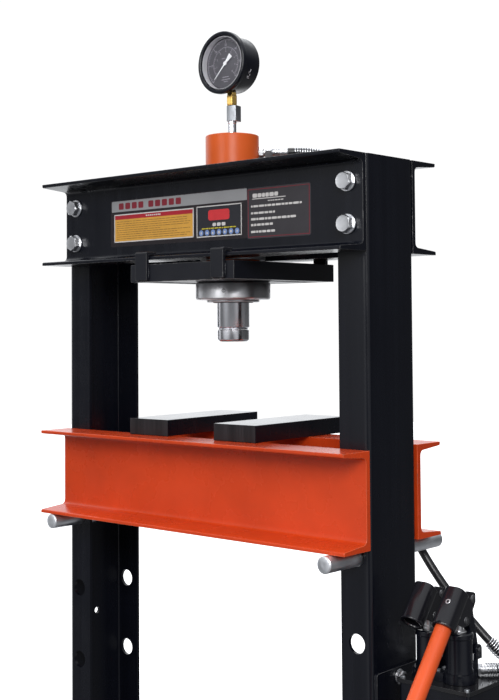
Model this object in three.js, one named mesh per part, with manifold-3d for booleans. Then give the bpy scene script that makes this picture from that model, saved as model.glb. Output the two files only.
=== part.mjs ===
// Hydraulic shop press, H-frame, 30 tonne class, with a hand pump on the right upright.
// Millimetres, +Z up, X to the operator's right, Y away from the operator.
// The model stands on the floor at Z = 0, centred over its bounding box in X and Y.

import * as THREE from "three";
import { mergeVertices } from "three/addons/utils/BufferGeometryUtils.js";
import Module from "manifold-3d";

// ---------------------------------------------------------------- driving dimensions

const GAP = 0.3; // running gap between neighbouring solids

// Frame
const UPRIGHT_OUTER_X = 370; // centre line to the outer face of an upright
const UPRIGHT_DEPTH = 132; // front to back
const UPRIGHT_FLANGE = 60;
const UPRIGHT_THICK = 6;
const UPRIGHT_BEND = 9; // outer bend radius
const HEAD_BOTTOM = 1380;
const HEAD_HALF_LENGTH = 369;
const HEAD_BOLT_X = 338;
const HEAD_BOLT_SPACING = 70;
const CHANNEL_HEIGHT = 160;
const CHANNEL_FLANGE = 70.4;
const CHANNEL_TIP = 6.4; // flange thickness at its edge
const CHANNEL_TAPER = 0.085;
const HEAD_WEB = 8.5;
const HEAD_TOP = HEAD_BOTTOM + CHANNEL_HEIGHT;

// Support holes and pins
const HOLE_X = 341;
const HOLE_RADIUS = 16;
const HOLE_TOP_Z = 885;
const HOLE_PITCH = 140;
const HOLE_ROWS = 6;
const PIN_RADIUS = 14;
const PIN_LENGTH = 320;
const PIN_Z = HOLE_TOP_Z - HOLE_RADIUS + PIN_RADIUS + GAP;
const LEFT_PIN_FRONT_Y = -138;
const RIGHT_PIN_FRONT_Y = -151;

// Bed
const BED_HALF_LENGTH = 372;
const BED_CLEARANCE = 1.5; // between an upright and a bed web
const BED_WEB = 10;
const BED_FLANGE = 70;
const BED_BOTTOM = PIN_Z + PIN_RADIUS + GAP;
const BED_TOP = BED_BOTTOM + CHANNEL_HEIGHT;
const HEEL_WIDTH = 95;
const HEEL_HEIGHT = 30;
const HEEL_LENGTH = 268;
const HEEL_FRONT_Y = -88;
const LEFT_HEEL = { x: -119.5, turn: 3.3 };
const RIGHT_HEEL = { x: 95.5, turn: 2.0 };

// Base
const FOOT_HALF_LENGTH = 340;
const FOOT_WIDTH = 76;
const FOOT_HEIGHT = 50;
const FOOT_THICK = 6;
const FOOT_X = 340;
const BRACE_WIDTH = 40;
const BRACE_THICK = 6;
const BRACE_TOP_Z = 420;
const CROSSBEAM_BOTTOM = 60;
const CROSSBEAM_HEIGHT = 100;
const CROSSBEAM_DEPTH = 50;

// Ram and its carriage
const RAM_X = 15;
const CYLINDER_RADIUS = 49.5;
const CYLINDER_BOTTOM = 1303;
const CYLINDER_TOP = 1611;
const BORE_RADIUS = 37.5;
const BORE_TOP = 1590;
const ROD_RADIUS = 30;
const NOSE_BOTTOM = 1231;
const NOSE_HEIGHT = 21.7;
const RING_RADIUS = 68.8;
const CARRIAGE_BOTTOM = 1340;
const CARRIAGE_BAR_HEIGHT = 32;
const CARRIAGE_HALF_X = 128;
const CARRIAGE_HALF_Y = 138;
const HOOK_X = 94;
const HOOK_WIDTH = 30;
const HOOK_THICK = 7;
const PORT_Z = 1580; // hose port in the cylinder wall
const PORT_ANGLE = 38 * (Math.PI / 180); // from the right toward the rear

// Gauge
const GAUGE_Z = 1744.2;
const GAUGE_CASE_RADIUS = 51.8;
const GAUGE_BEZEL_RADIUS = 57.8;
const GAUGE_BACK = -22; // distances forward of the stem axis
const GAUGE_FRONT = 31;
const NEEDLE_LENGTH = 38;

// Pump
const TANK_LEFT = 405;
const TANK_RIGHT = 534;
const TANK_FRONT = -42;
const TANK_REAR = 110;
const TANK_BOTTOM = 560;
const TANK_TOP = 692;
const COVER_THICK = 6;
const PUMP_DECK = TANK_TOP + COVER_THICK;
const RIGHT_PUMP_X = 492;
const LEFT_PUMP_X = 434;
const BRACKET_TOP = 701;
const BRACKET_THICK = 6;
const PLUNGER_PIN_Z = 795;
const FULCRUM = { y: 20, z: 826 };
const LINK_FOOT = { y: 40, z: 742 };
const HANDLE_TILT = 40; // degrees forward of straight down
const SOCKET_TOP = { y: -2.4, z: 839 };
const SOCKET_LENGTH = 66;
const HANDLE_RADIUS = 13.2;
const HANDLE_LENGTH = 480;

// Hose
const HOSE_RADIUS = 7.5;
const HOSE_STEPS = 70;
const HOSE_START = 104; // from the ram's axis, along the fitting

// The bounding box runs from the left foot to the right side of the oil tank cover.
const BOX_LEFT = -(FOOT_X + FOOT_WIDTH / 2);
const BOX_RIGHT = TANK_RIGHT + 3;
const CENTRE_X = (BOX_LEFT + BOX_RIGHT) / 2;

const SIDES = 24; // facets of a large round
const DEG = Math.PI / 180;

// ---------------------------------------------------------------- solids

const wasm = await Module();
wasm.setup();

function toSolid(geometry) {
  const bare = geometry.clone();
  bare.deleteAttribute("normal");
  bare.deleteAttribute("uv");
  const merged = mergeVertices(bare, 1e-4);
  return new wasm.Manifold(new wasm.Mesh({
    numProp: 3,
    vertProperties: Float32Array.from(merged.attributes.position.array),
    triVerts: Uint32Array.from(merged.index.array),
  }));
}

function toGeometry(solid) {
  const mesh = solid.getMesh();
  const geometry = new THREE.BufferGeometry();
  geometry.setAttribute("position", new THREE.BufferAttribute(mesh.vertProperties, 3));
  geometry.setIndex(new THREE.BufferAttribute(mesh.triVerts, 1));
  geometry.computeVertexNormals();
  return geometry;
}

function joined(...geometries) {
  return toGeometry(geometries.map(toSolid).reduce((sum, next) => sum.add(next)));
}

function cut(geometry, ...tools) {
  return toGeometry(tools.map(toSolid).reduce((rest, tool) => rest.subtract(tool), toSolid(geometry)));
}

function block(x0, x1, y0, y1, z0, z1) {
  const box = new THREE.BoxGeometry(x1 - x0, y1 - y0, z1 - z0);
  return box.translate((x0 + x1) / 2, (y0 + y1) / 2, (z0 + z1) / 2);
}

// A round bar. axis is "x", "y" or "z"; from and to run along it; centre holds the other two.
function bar(axis, radius, from, to, centre, sides = SIDES) {
  const cylinder = new THREE.CylinderGeometry(radius, radius, to - from, sides);
  const middle = (from + to) / 2;
  if (axis === "x") return cylinder.rotateZ(Math.PI / 2).translate(middle, centre[0], centre[1]);
  if (axis === "y") return cylinder.translate(centre[0], middle, centre[1]);
  return cylinder.rotateX(Math.PI / 2).translate(centre[0], centre[1], middle);
}

// A turned piece about Z, from a list of [radius, z] points that closes or ends on the axis.
function turned(profile, sides = SIDES) {
  const points = profile.map(([radius, z]) => new THREE.Vector2(radius, z));
  return new THREE.LatheGeometry(points, sides).rotateX(Math.PI / 2);
}

function outline(points) {
  return new THREE.Shape(points.map(([u, v]) => new THREE.Vector2(u, v)));
}

// Extrusions of a shape drawn in (y, z), in (z, x) and in (x, y).
function alongX(shape, x0, x1, curveSegments = 4) {
  const swept = new THREE.ExtrudeGeometry(shape, { depth: x1 - x0, bevelEnabled: false, curveSegments });
  return swept.rotateX(Math.PI / 2).rotateZ(Math.PI / 2).translate(x0, 0, 0);
}

function alongY(shape, y0, y1, curveSegments = 4) {
  const swept = new THREE.ExtrudeGeometry(shape, { depth: y1 - y0, bevelEnabled: false, curveSegments });
  return swept.rotateX(-Math.PI / 2).rotateY(-Math.PI / 2).translate(0, y0, 0);
}

function alongZ(shape, z0, z1, curveSegments = 4) {
  const swept = new THREE.ExtrudeGeometry(shape, { depth: z1 - z0, bevelEnabled: false, curveSegments });
  return swept.translate(0, 0, z0);
}

// ---------------------------------------------------------------- materials

function finish(color, roughness, metalness, extra = {}) {
  return new THREE.MeshStandardMaterial({ color, roughness, metalness, ...extra });
}

const blackPaint = finish(0x111114, 0.28, 0.1);
const orangePaint = finish(0xe2501c, 0.35, 0.05);
const zinc = finish(0xb9bdc4, 0.35, 0.9);
const chrome = finish(0xc9ccd1, 0.15, 1.0);
const steel = finish(0x8d9095, 0.35, 0.95);
const springSteel = finish(0x6c7076, 0.3, 1.0);
const brass = finish(0xc9a24a, 0.3, 1.0);
const bronze = finish(0xa9793c, 0.4, 0.9);
const caseBlack = finish(0x17171a, 0.35, 0.2);
const dialGrey = finish(0x4a4a50, 0.7, 0.0);
const needleWhite = finish(0xeeeeee, 0.5, 0.0);
const clearGlass = finish(0xffffff, 0.05, 0.0, { transparent: true, opacity: 0.2 });
const hoseRubber = finish(0x16161a, 0.5, 0.0);
const sealRubber = finish(0x1c1c1c, 0.7, 0.0);

const press = new THREE.Group();
press.position.set(-CENTRE_X, 0, 0);

function add(parent, name, geometry, material) {
  const mesh = new THREE.Mesh(geometry, material);
  mesh.name = name;
  parent.add(mesh);
  return mesh;
}

// ---------------------------------------------------------------- rolled sections

// Hot rolled channel: u runs out from the back of the web, v up. Flanges taper to their edges.
function channelShape(flange, web) {
  const height = CHANNEL_HEIGHT;
  const fillet = 9;
  const nose = 3;
  const innerAt = (u) => CHANNEL_TIP + (flange - u) * CHANNEL_TAPER;
  const shape = new THREE.Shape();
  shape.moveTo(0, 0);
  shape.lineTo(flange, 0);
  shape.lineTo(flange, CHANNEL_TIP - nose);
  shape.quadraticCurveTo(flange, CHANNEL_TIP, flange - nose, innerAt(flange - nose));
  shape.lineTo(web + fillet, innerAt(web + fillet));
  shape.quadraticCurveTo(web, innerAt(web), web, innerAt(web) + fillet);
  shape.lineTo(web, height - innerAt(web) - fillet);
  shape.quadraticCurveTo(web, height - innerAt(web), web + fillet, height - innerAt(web + fillet));
  shape.lineTo(flange - nose, height - innerAt(flange - nose));
  shape.quadraticCurveTo(flange, height - CHANNEL_TIP, flange, height - CHANNEL_TIP + nose);
  shape.lineTo(flange, height);
  shape.lineTo(0, height);
  shape.closePath();
  return shape;
}

// Cold bent channel in (x, y), web on the outside, open towards the middle of the press.
function uprightShape() {
  const outer = UPRIGHT_OUTER_X;
  const tip = outer - UPRIGHT_FLANGE;
  const half = UPRIGHT_DEPTH / 2;
  const centre = { x: outer - UPRIGHT_BEND, y: half - UPRIGHT_BEND };
  const inner = UPRIGHT_BEND - UPRIGHT_THICK;
  const quarter = Math.PI / 2;
  const shape = new THREE.Shape();
  shape.moveTo(tip, -half);
  shape.lineTo(centre.x, -half);
  shape.absarc(centre.x, -centre.y, UPRIGHT_BEND, -quarter, 0, false);
  shape.absarc(centre.x, centre.y, UPRIGHT_BEND, 0, quarter, false);
  shape.lineTo(tip, half);
  shape.lineTo(tip, half - UPRIGHT_THICK);
  shape.absarc(centre.x, centre.y, inner, quarter, 0, true);
  shape.absarc(centre.x, -centre.y, inner, 0, -quarter, true);
  shape.lineTo(tip, -half + UPRIGHT_THICK);
  shape.closePath();
  return shape;
}

// ---------------------------------------------------------------- frame

const HEAD_BOLT_LEVELS = [
  HEAD_BOTTOM + (CHANNEL_HEIGHT - HEAD_BOLT_SPACING) / 2,
  HEAD_BOTTOM + (CHANNEL_HEIGHT + HEAD_BOLT_SPACING) / 2,
];
const HEAD_BOLT_RADIUS = 9;
const BRACKET_BOLT_RADIUS = 6;
const BRACKET_BOLT_LEVELS = [686, 494];

function uprightGeometry() {
  const holes = [];
  for (let row = 0; row < HOLE_ROWS; row += 1) {
    holes.push(bar("y", HOLE_RADIUS, -80, 80, [HOLE_X, HOLE_TOP_Z - row * HOLE_PITCH], 16));
  }
  for (const z of HEAD_BOLT_LEVELS) {
    holes.push(bar("y", HEAD_BOLT_RADIUS + GAP, -80, 80, [HEAD_BOLT_X, z], 12));
  }
  for (const z of BRACKET_BOLT_LEVELS) {
    holes.push(bar("x", BRACKET_BOLT_RADIUS + GAP, 355, 380, [0, z], 12));
  }
  return cut(alongZ(uprightShape(), FOOT_HEIGHT + GAP, HEAD_TOP), ...holes);
}

function headChannelGeometry() {
  const section = channelShape(CHANNEL_FLANGE, HEAD_WEB);
  const length = alongX(section, -HEAD_HALF_LENGTH, HEAD_HALF_LENGTH);
  const placed = length.translate(0, UPRIGHT_DEPTH / 2 + GAP, HEAD_BOTTOM);
  const holes = [];
  for (const side of [-1, 1]) {
    for (const z of HEAD_BOLT_LEVELS) {
      holes.push(bar("y", HEAD_BOLT_RADIUS + GAP, 60, 80, [side * HEAD_BOLT_X, z], 12));
    }
  }
  return cut(placed, ...holes);
}

// A long bolt through both channels: hex head and washer in front, washer and nut behind.
function headBoltGeometry() {
  const face = UPRIGHT_DEPTH / 2 + GAP + HEAD_WEB + GAP;
  const washer = 3;
  const head = 12;
  const nut = 15;
  return joined(
    bar("y", HEAD_BOLT_RADIUS, -face - 2, face + washer + nut + 6, [0, 0], 12),
    bar("y", 17, -face - washer, -face, [0, 0], 20),
    bar("y", 15.6, -face - washer - head, -face - washer + 0.1, [0, 0], 6),
    bar("y", 17, face, face + washer, [0, 0], 20),
    bar("y", 15.6, face + washer - 0.1, face + washer + nut, [0, 0], 6),
  );
}

function buildFrame() {
  const frame = new THREE.Group();
  const upright = uprightGeometry();
  add(frame, "right_upright", upright, blackPaint);
  add(frame, "left_upright", upright, blackPaint).rotation.z = Math.PI;
  const channel = headChannelGeometry();
  add(frame, "rear_head_channel", channel, blackPaint);
  add(frame, "front_head_channel", channel, blackPaint).rotation.z = Math.PI;
  const bolt = headBoltGeometry();
  for (const [side, x] of [["left", -HEAD_BOLT_X], ["right", HEAD_BOLT_X]]) {
    for (const [level, z] of [["lower", HEAD_BOLT_LEVELS[0]], ["upper", HEAD_BOLT_LEVELS[1]]]) {
      add(frame, `head_bolt_${side}_${level}`, bolt, zinc).position.set(x, 0, z);
    }
  }
  return frame;
}

// ---------------------------------------------------------------- base

// Foot channel, open side down, drawn in (z, x).
function footGeometry() {
  const half = FOOT_WIDTH / 2;
  const under = FOOT_HEIGHT - FOOT_THICK;
  const shape = outline([
    [0, -half], [FOOT_HEIGHT, -half], [FOOT_HEIGHT, half], [0, half],
    [0, half - FOOT_THICK], [under, half - FOOT_THICK],
    [under, -half + FOOT_THICK], [0, -half + FOOT_THICK],
  ]);
  return alongY(shape, -FOOT_HALF_LENGTH, FOOT_HALF_LENGTH);
}

// Diagonal flat bar with a lap at each end, drawn in (y, z), from the foot up to the upright.
function braceGeometry() {
  const t = BRACE_THICK;
  const wall = UPRIGHT_DEPTH / 2 + GAP;
  const foot = FOOT_HEIGHT + GAP;
  const toe = FOOT_HALF_LENGTH - 12;
  const lap = 46;
  const top = BRACE_TOP_Z;
  const shape = outline([
    [toe, foot], [toe, foot + t], [toe - lap + t / 2, foot + t],
    [wall + t, top - lap + t / 2], [wall + t, top], [wall, top],
    [wall, top - lap - t / 2], [toe - lap - t / 2, foot],
  ]);
  return alongX(shape, -BRACE_WIDTH / 2, BRACE_WIDTH / 2);
}

// Rolled channel between the uprights, open to the rear, drawn in (y, z).
function crossbeamGeometry() {
  const t = 6;
  const y0 = -CROSSBEAM_DEPTH / 2;
  const y1 = CROSSBEAM_DEPTH / 2;
  const z0 = CROSSBEAM_BOTTOM;
  const z1 = CROSSBEAM_BOTTOM + CROSSBEAM_HEIGHT;
  const shape = outline([
    [y0, z0], [y1, z0], [y1, z0 + t], [y0 + t, z0 + t],
    [y0 + t, z1 - t], [y1, z1 - t], [y1, z1], [y0, z1],
  ]);
  const reach = UPRIGHT_OUTER_X - UPRIGHT_THICK - GAP;
  return alongX(shape, -reach, reach);
}

function buildBase() {
  const base = new THREE.Group();
  const foot = footGeometry();
  const brace = braceGeometry();
  for (const [side, x] of [["left", -FOOT_X], ["right", FOOT_X]]) {
    add(base, `${side}_foot`, foot, blackPaint).position.x = x;
    add(base, `${side}_rear_brace`, brace, blackPaint).position.x = x;
    const front = add(base, `${side}_front_brace`, brace, blackPaint);
    front.position.x = x;
    front.rotation.z = Math.PI;
  }
  add(base, "lower_crossbeam", crossbeamGeometry(), blackPaint);
  return base;
}

// ---------------------------------------------------------------- bed

function pinGeometry() {
  const bevel = 2;
  return turned([
    [0, 0], [PIN_RADIUS - bevel, 0], [PIN_RADIUS, bevel],
    [PIN_RADIUS, PIN_LENGTH - bevel], [PIN_RADIUS - bevel, PIN_LENGTH], [0, PIN_LENGTH],
  ], 24).rotateX(-Math.PI / 2);
}

function heelGeometry() {
  const half = HEEL_WIDTH / 2;
  const bevel = 1;
  const shape = outline([
    [bevel, -half], [HEEL_HEIGHT - bevel, -half], [HEEL_HEIGHT, bevel - half],
    [HEEL_HEIGHT, half - bevel], [HEEL_HEIGHT - bevel, half], [bevel, half],
    [0, half - bevel], [0, bevel - half],
  ]);
  return alongY(shape, 0, HEEL_LENGTH);
}

function buildBed() {
  const bed = new THREE.Group();
  const back = UPRIGHT_DEPTH / 2 + BED_CLEARANCE;
  const section = channelShape(BED_FLANGE, BED_WEB);
  const channel = alongX(section, -BED_HALF_LENGTH, BED_HALF_LENGTH).translate(0, back, BED_BOTTOM);
  add(bed, "rear_bed_channel", channel, orangePaint);
  add(bed, "front_bed_channel", channel, orangePaint).rotation.z = Math.PI;
  const reach = back - GAP;
  const spacer = block(-5, 5, -reach, reach, BED_BOTTOM + 12, BED_TOP - 12);
  add(bed, "bed_spacer_left", spacer, orangePaint).position.x = -250;
  add(bed, "bed_spacer_right", spacer, orangePaint).position.x = 250;

  const pin = pinGeometry();
  add(bed, "left_support_pin", pin, chrome).position.set(-HOLE_X, LEFT_PIN_FRONT_Y, PIN_Z);
  add(bed, "right_support_pin", pin, chrome).position.set(HOLE_X, RIGHT_PIN_FRONT_Y, PIN_Z);

  const heel = heelGeometry();
  for (const [name, place] of [["left_heel_block", LEFT_HEEL], ["right_heel_block", RIGHT_HEEL]]) {
    const mesh = add(bed, name, heel, blackPaint);
    mesh.position.set(place.x, HEEL_FRONT_Y, BED_TOP + GAP);
    mesh.rotation.z = place.turn * DEG;
  }
  return bed;
}

// ---------------------------------------------------------------- ram carriage

function carriageGeometry() {
  const z0 = CARRIAGE_BOTTOM;
  const z1 = z0 + CARRIAGE_BAR_HEIGHT;
  const sideBar = 25;
  const endBar = 16;
  const hx = CARRIAGE_HALF_X;
  const hy = CARRIAGE_HALF_Y;
  const lip = HEAD_BOTTOM + CHANNEL_TIP + 2.2;
  const pieces = [block(-75, 75, 4 - hy, hy - 4, z0, HEAD_BOTTOM - 0.4)];
  for (const side of [-1, 1]) {
    const outer = side * hx;
    const inner = side * (hx - sideBar);
    pieces.push(block(Math.min(outer, inner), Math.max(outer, inner), -hy, hy, z0, z1));
    const face = side * hy;
    const rear = side * (hy - endBar);
    pieces.push(block(-hx, hx, Math.min(face, rear), Math.max(face, rear), z0, z1));
    for (const x of [-HOOK_X, HOOK_X]) {
      const strap = side * (hy + HOOK_THICK);
      const tip = side * (hy - 18);
      const w = HOOK_WIDTH / 2;
      const y0 = Math.min(face, strap);
      const y1 = Math.max(face, strap);
      pieces.push(block(x - w, x + w, y0, y1, z0 + 3, lip + HOOK_THICK - 1));
      const hook = [Math.min(tip, strap), Math.max(tip, strap)];
      pieces.push(block(x - w, x + w, ...hook, lip, lip + HOOK_THICK - 1));
    }
  }
  return cut(joined(...pieces), bar("z", CYLINDER_RADIUS + 0.4, z0 - 5, HEAD_BOTTOM + 5, [0, 0]));
}

function ringGeometry(outer, inner, z0, z1, bevel) {
  return turned([
    [inner, z0], [outer - bevel, z0], [outer, z0 + bevel],
    [outer, z1 - bevel], [outer - bevel, z1], [inner, z1], [inner, z0],
  ]);
}

// Barrel with a blind bore open at the bottom, a hose port at the right rear and a gauge port on top.
function cylinderGeometry() {
  const lipTop = 1307;
  const barrel = turned([
    [BORE_RADIUS, CYLINDER_BOTTOM], [CYLINDER_RADIUS - 1, CYLINDER_BOTTOM], [CYLINDER_RADIUS - 1, lipTop],
    [CYLINDER_RADIUS, lipTop], [CYLINDER_RADIUS, CYLINDER_TOP - 2], [CYLINDER_RADIUS - 2, CYLINDER_TOP],
    [0, CYLINDER_TOP], [0, BORE_TOP], [BORE_RADIUS, BORE_TOP], [BORE_RADIUS, CYLINDER_BOTTOM],
  ]);
  return cut(
    barrel,
    bar("x", 6, 30, 60, [0, PORT_Z], 16).rotateZ(PORT_ANGLE),
    bar("z", 5.4, BORE_TOP - 5, CYLINDER_TOP + 5, [0, 0], 16),
  );
}

const GLAND_TOP = 1375;
const PISTON_BOTTOM = 1530;
const PISTON_TOP = 1557;

function rodGeometry() {
  const nose = NOSE_BOTTOM + NOSE_HEIGHT + GAP;
  const piston = BORE_RADIUS - GAP;
  const seal = 33;
  return turned([
    [8.4, nose], [27, nose], [27, nose + 2.5], [ROD_RADIUS, nose + 4.5],
    [ROD_RADIUS, PISTON_BOTTOM], [piston, PISTON_BOTTOM], [piston, PISTON_BOTTOM + 8],
    [seal, PISTON_BOTTOM + 8], [seal, PISTON_BOTTOM + 16], [piston, PISTON_BOTTOM + 16],
    [piston, PISTON_TOP], [14, PISTON_TOP], [14, nose + 45], [8.4, nose + 40], [8.4, nose],
  ]);
}

function noseGeometry() {
  const top = NOSE_BOTTOM + NOSE_HEIGHT;
  return turned([
    [0, NOSE_BOTTOM], [25.7, NOSE_BOTTOM], [29.2, NOSE_BOTTOM + 3.5], [29.2, top],
    [8, top], [8, top + 22], [0, top + 22],
  ]);
}

class Helix extends THREE.Curve {
  constructor(radius, bottom, top, turns) {
    super();
    Object.assign(this, { radius, bottom, top, turns });
  }

  getPoint(t, target = new THREE.Vector3()) {
    const angle = 2 * Math.PI * this.turns * t;
    const z = this.bottom + (this.top - this.bottom) * t;
    return target.set(this.radius * Math.cos(angle), this.radius * Math.sin(angle), z);
  }
}

// A round section swept along a curve.
function swept(curve, radius, sides, steps) {
  const section = new THREE.Shape();
  for (let side = 0; side < sides; side += 1) {
    const angle = (2 * Math.PI * side) / sides;
    const point = [radius * Math.cos(angle), radius * Math.sin(angle)];
    if (side === 0) section.moveTo(...point);
    else section.lineTo(...point);
  }
  section.closePath();
  return new THREE.ExtrudeGeometry(section, { steps, extrudePath: curve, bevelEnabled: false });
}

const RETURN_SPRING_TURNS = 10;

function returnSpringGeometry() {
  const bottom = NOSE_BOTTOM + NOSE_HEIGHT + 52;
  const helix = new Helix(9.5, bottom, BORE_TOP - 4, RETURN_SPRING_TURNS);
  return swept(helix, 1.8, 5, RETURN_SPRING_TURNS * 8);
}

// Straight fitting on the barrel: nipple, swivel nut and the crimped end of the hose.
function ramFittingGeometry() {
  const out = CYLINDER_RADIUS + GAP;
  return joined(
    bar("x", 5.5, 42, out + 8, [0, PORT_Z], 16),
    bar("x", 11, out, out + 9, [0, PORT_Z], 6),
    bar("x", 8.5, out + 8, out + 12, [0, PORT_Z], 20),
    bar("x", 13, out + 11, out + 25, [0, PORT_Z], 6),
    bar("x", 10, out + 24, HOSE_START - GAP, [0, PORT_Z], 20),
  );
}

function buildRam() {
  const ram = new THREE.Group();
  ram.position.x = RAM_X;
  add(ram, "ram_carriage", carriageGeometry(), blackPaint);
  add(ram, "ram_cylinder", cylinderGeometry(), orangePaint);
  const thread = CYLINDER_RADIUS + GAP;
  add(ram, "ring_nut", ringGeometry(RING_RADIUS, thread, 1307.6, CARRIAGE_BOTTOM - GAP, 2.5), steel);
  add(ram, "lock_ring", ringGeometry(60, thread, HEAD_BOTTOM, HEAD_BOTTOM + 12, 1), steel);
  const guide = ringGeometry(BORE_RADIUS - GAP, ROD_RADIUS + GAP, CYLINDER_BOTTOM + 1, GLAND_TOP, 1);
  add(ram, "rod_guide", guide, bronze);
  const seal = ringGeometry(BORE_RADIUS - GAP, 33 + GAP, PISTON_BOTTOM + 8.3, PISTON_BOTTOM + 15.7, 0.8);
  add(ram, "ram_rod", rodGeometry(), chrome);
  add(ram, "rod_nose", noseGeometry(), chrome);
  add(ram, "piston_seal", seal, sealRubber);
  add(ram, "return_spring", returnSpringGeometry(), springSteel);
  add(ram, "ram_fitting", ramFittingGeometry(), zinc).rotation.z = PORT_ANGLE;
  ram.add(buildGauge());
  return ram;
}

// ---------------------------------------------------------------- gauge

const GAUGE_PIPE_TOP = 1637.7;
const GAUGE_ADAPTER_TOP = 1667.3;
const GAUGE_SIDES = 28;

function needleGeometry() {
  const tail = 20;
  const blade = outline([
    [-1.6, 0], [-4.6, -tail], [4.6, -tail], [1.6, 0], [0.5, NEEDLE_LENGTH], [-0.5, NEEDLE_LENGTH],
  ]);
  return joined(
    alongZ(blade, 18, 19),
    bar("z", 4, 17.6, 20, [0, 0], 20),
    bar("z", 1.4, 6, 18, [0, 0], 12),
  );
}

function buildGauge() {
  const gauge = new THREE.Group();
  const pipe = turned([
    [0, 1596], [5, 1596], [5, CYLINDER_TOP + GAP], [8.5, CYLINDER_TOP + GAP],
    [8.5, GAUGE_PIPE_TOP], [0, GAUGE_PIPE_TOP],
  ], 24);
  add(gauge, "gauge_pipe", pipe, chrome);
  const adapterBlock = block(-10, 10, -10, 10, GAUGE_PIPE_TOP + GAP, GAUGE_ADAPTER_TOP);
  const adapter = add(gauge, "gauge_adapter", adapterBlock, zinc);
  adapter.position.set(2.5, 2.3, 0);
  adapter.rotation.z = 12 * DEG;
  const stemTop = GAUGE_Z - GAUGE_CASE_RADIUS - GAP;
  add(gauge, "gauge_stem", bar("z", 9.4, GAUGE_ADAPTER_TOP + GAP, stemTop, [0, 0], 6), brass);

  // Turned pieces of the head share one axis, which points forward.
  const head = new THREE.Group();
  head.position.z = GAUGE_Z;
  head.rotation.x = Math.PI / 2;
  gauge.add(head);
  const r = GAUGE_CASE_RADIUS;
  const mouth = 25.5;
  const shell = turned([
    [0, GAUGE_BACK], [r - 3, GAUGE_BACK], [r, GAUGE_BACK + 3], [r, mouth], [r - 2, mouth],
    [r - 2, GAUGE_BACK + 3], [0, GAUGE_BACK + 3],
  ], GAUGE_SIDES);
  add(head, "gauge_case", shell, caseBlack);
  const rim = turned([
    [r + GAP, 20], [GAUGE_BEZEL_RADIUS - 1.5, 20], [GAUGE_BEZEL_RADIUS, 21.5],
    [GAUGE_BEZEL_RADIUS, GAUGE_FRONT - 2], [GAUGE_BEZEL_RADIUS - 2.5, GAUGE_FRONT], [r, GAUGE_FRONT],
    [r - 1.5, GAUGE_FRONT - 2.4], [r + GAP, GAUGE_FRONT - 2.4], [r + GAP, 20],
  ], GAUGE_SIDES);
  add(head, "gauge_bezel", rim, caseBlack);
  const lens = bar("z", r, mouth + GAP, GAUGE_FRONT - 2.4 - GAP, [0, 0], GAUGE_SIDES);
  add(head, "gauge_lens", lens, clearGlass);
  const plate = bar("z", r - 2 - GAP, 15, 16, [0, 0], GAUGE_SIDES);
  const dial = cut(plate, bar("z", 3, 10, 20, [0, 0], 12));
  add(head, "gauge_dial", dial, dialGrey);
  const movement = cut(block(-16, 16, -14, 14, -2, 13), bar("z", 2, -1, 14, [0, 0], 12));
  add(head, "gauge_movement", movement, brass);
  // At zero the needle points down and to the left.
  add(head, "gauge_needle", needleGeometry(), needleWhite).rotation.z = 135 * DEG;
  return gauge;
}

// ---------------------------------------------------------------- pump

const PUMP_REACH = 14; // from a pump's centre to the outer face of a socket cheek
const CHEEK_INSIDE = 9.6;
const LINK_PIN_RADIUS = 4;
const PLUNGER_PIN_RADIUS = 3.5;
const HOUSING_REAR = 58;
const VALVE = { x: 450, z: PUMP_DECK + 15 };
const OUTLET = { x: 493, y: 47, z: PUMP_DECK + 10 }; // middle of the housing's slanted face
const OUTLET_ANGLE = 45; // degrees from the right toward the rear
const OUTLET_LENGTH = 34;

// Plate on the upright's web with a shelf under the oil tank and two gussets.
function bracketGeometry() {
  const x0 = UPRIGHT_OUTER_X + GAP;
  const x1 = x0 + BRACKET_THICK;
  const shelf = TANK_BOTTOM - GAP - BRACKET_THICK;
  const gusset = outline([[shelf + 1, x1 - 1], [shelf + 1, TANK_RIGHT - 30], [shelf - 70, x1 - 1]]);
  const plate = block(x0, x1, -60, 60, shelf - 80, BRACKET_TOP);
  const body = joined(
    plate,
    block(x0, TANK_RIGHT, -60, 60, shelf, shelf + BRACKET_THICK),
    alongY(gusset, -60, -54),
    alongY(gusset, 54, 60),
  );
  const holes = BRACKET_BOLT_LEVELS.map((z) => bar("x", BRACKET_BOLT_RADIUS + GAP, 360, 390, [0, z], 16));
  return cut(body, ...holes);
}

function bracketBoltGeometry() {
  const inside = UPRIGHT_OUTER_X - UPRIGHT_THICK - GAP;
  const outside = UPRIGHT_OUTER_X + GAP + BRACKET_THICK + GAP;
  return joined(
    bar("x", BRACKET_BOLT_RADIUS, inside - 14, outside + 4, [0, 0], 16),
    bar("x", 12, outside, outside + 2.5, [0, 0], 20),
    bar("x", 10.5, outside + 2.4, outside + 10, [0, 0], 6),
    bar("x", 10.5, inside - 10, inside, [0, 0], 6),
  );
}

// Open steel box under its cover.
function tankGeometry() {
  const wall = 3;
  const box = (inset, bottom, top) => block(
    TANK_LEFT + inset, TANK_RIGHT - inset, TANK_FRONT + inset, TANK_REAR - inset, bottom, top,
  );
  return cut(box(0, TANK_BOTTOM, TANK_TOP - GAP), box(wall, TANK_BOTTOM + wall, TANK_TOP + 9));
}

const FILLER = { x: 424, y: 90 };

function coverGeometry() {
  const lip = 3;
  return cut(
    block(TANK_LEFT - lip, TANK_RIGHT + lip, TANK_FRONT - lip, TANK_REAR + lip, TANK_TOP, PUMP_DECK),
    bar("z", 9.4, TANK_TOP - 5, PUMP_DECK + 5, [FILLER.x, FILLER.y], 20),
  );
}

function fillerPlugGeometry() {
  return joined(
    bar("z", 9, PUMP_DECK - 18, PUMP_DECK + 2, [0, 0], 20),
    bar("z", 13, PUMP_DECK + GAP, PUMP_DECK + 9, [0, 0], 6),
  );
}

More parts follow.
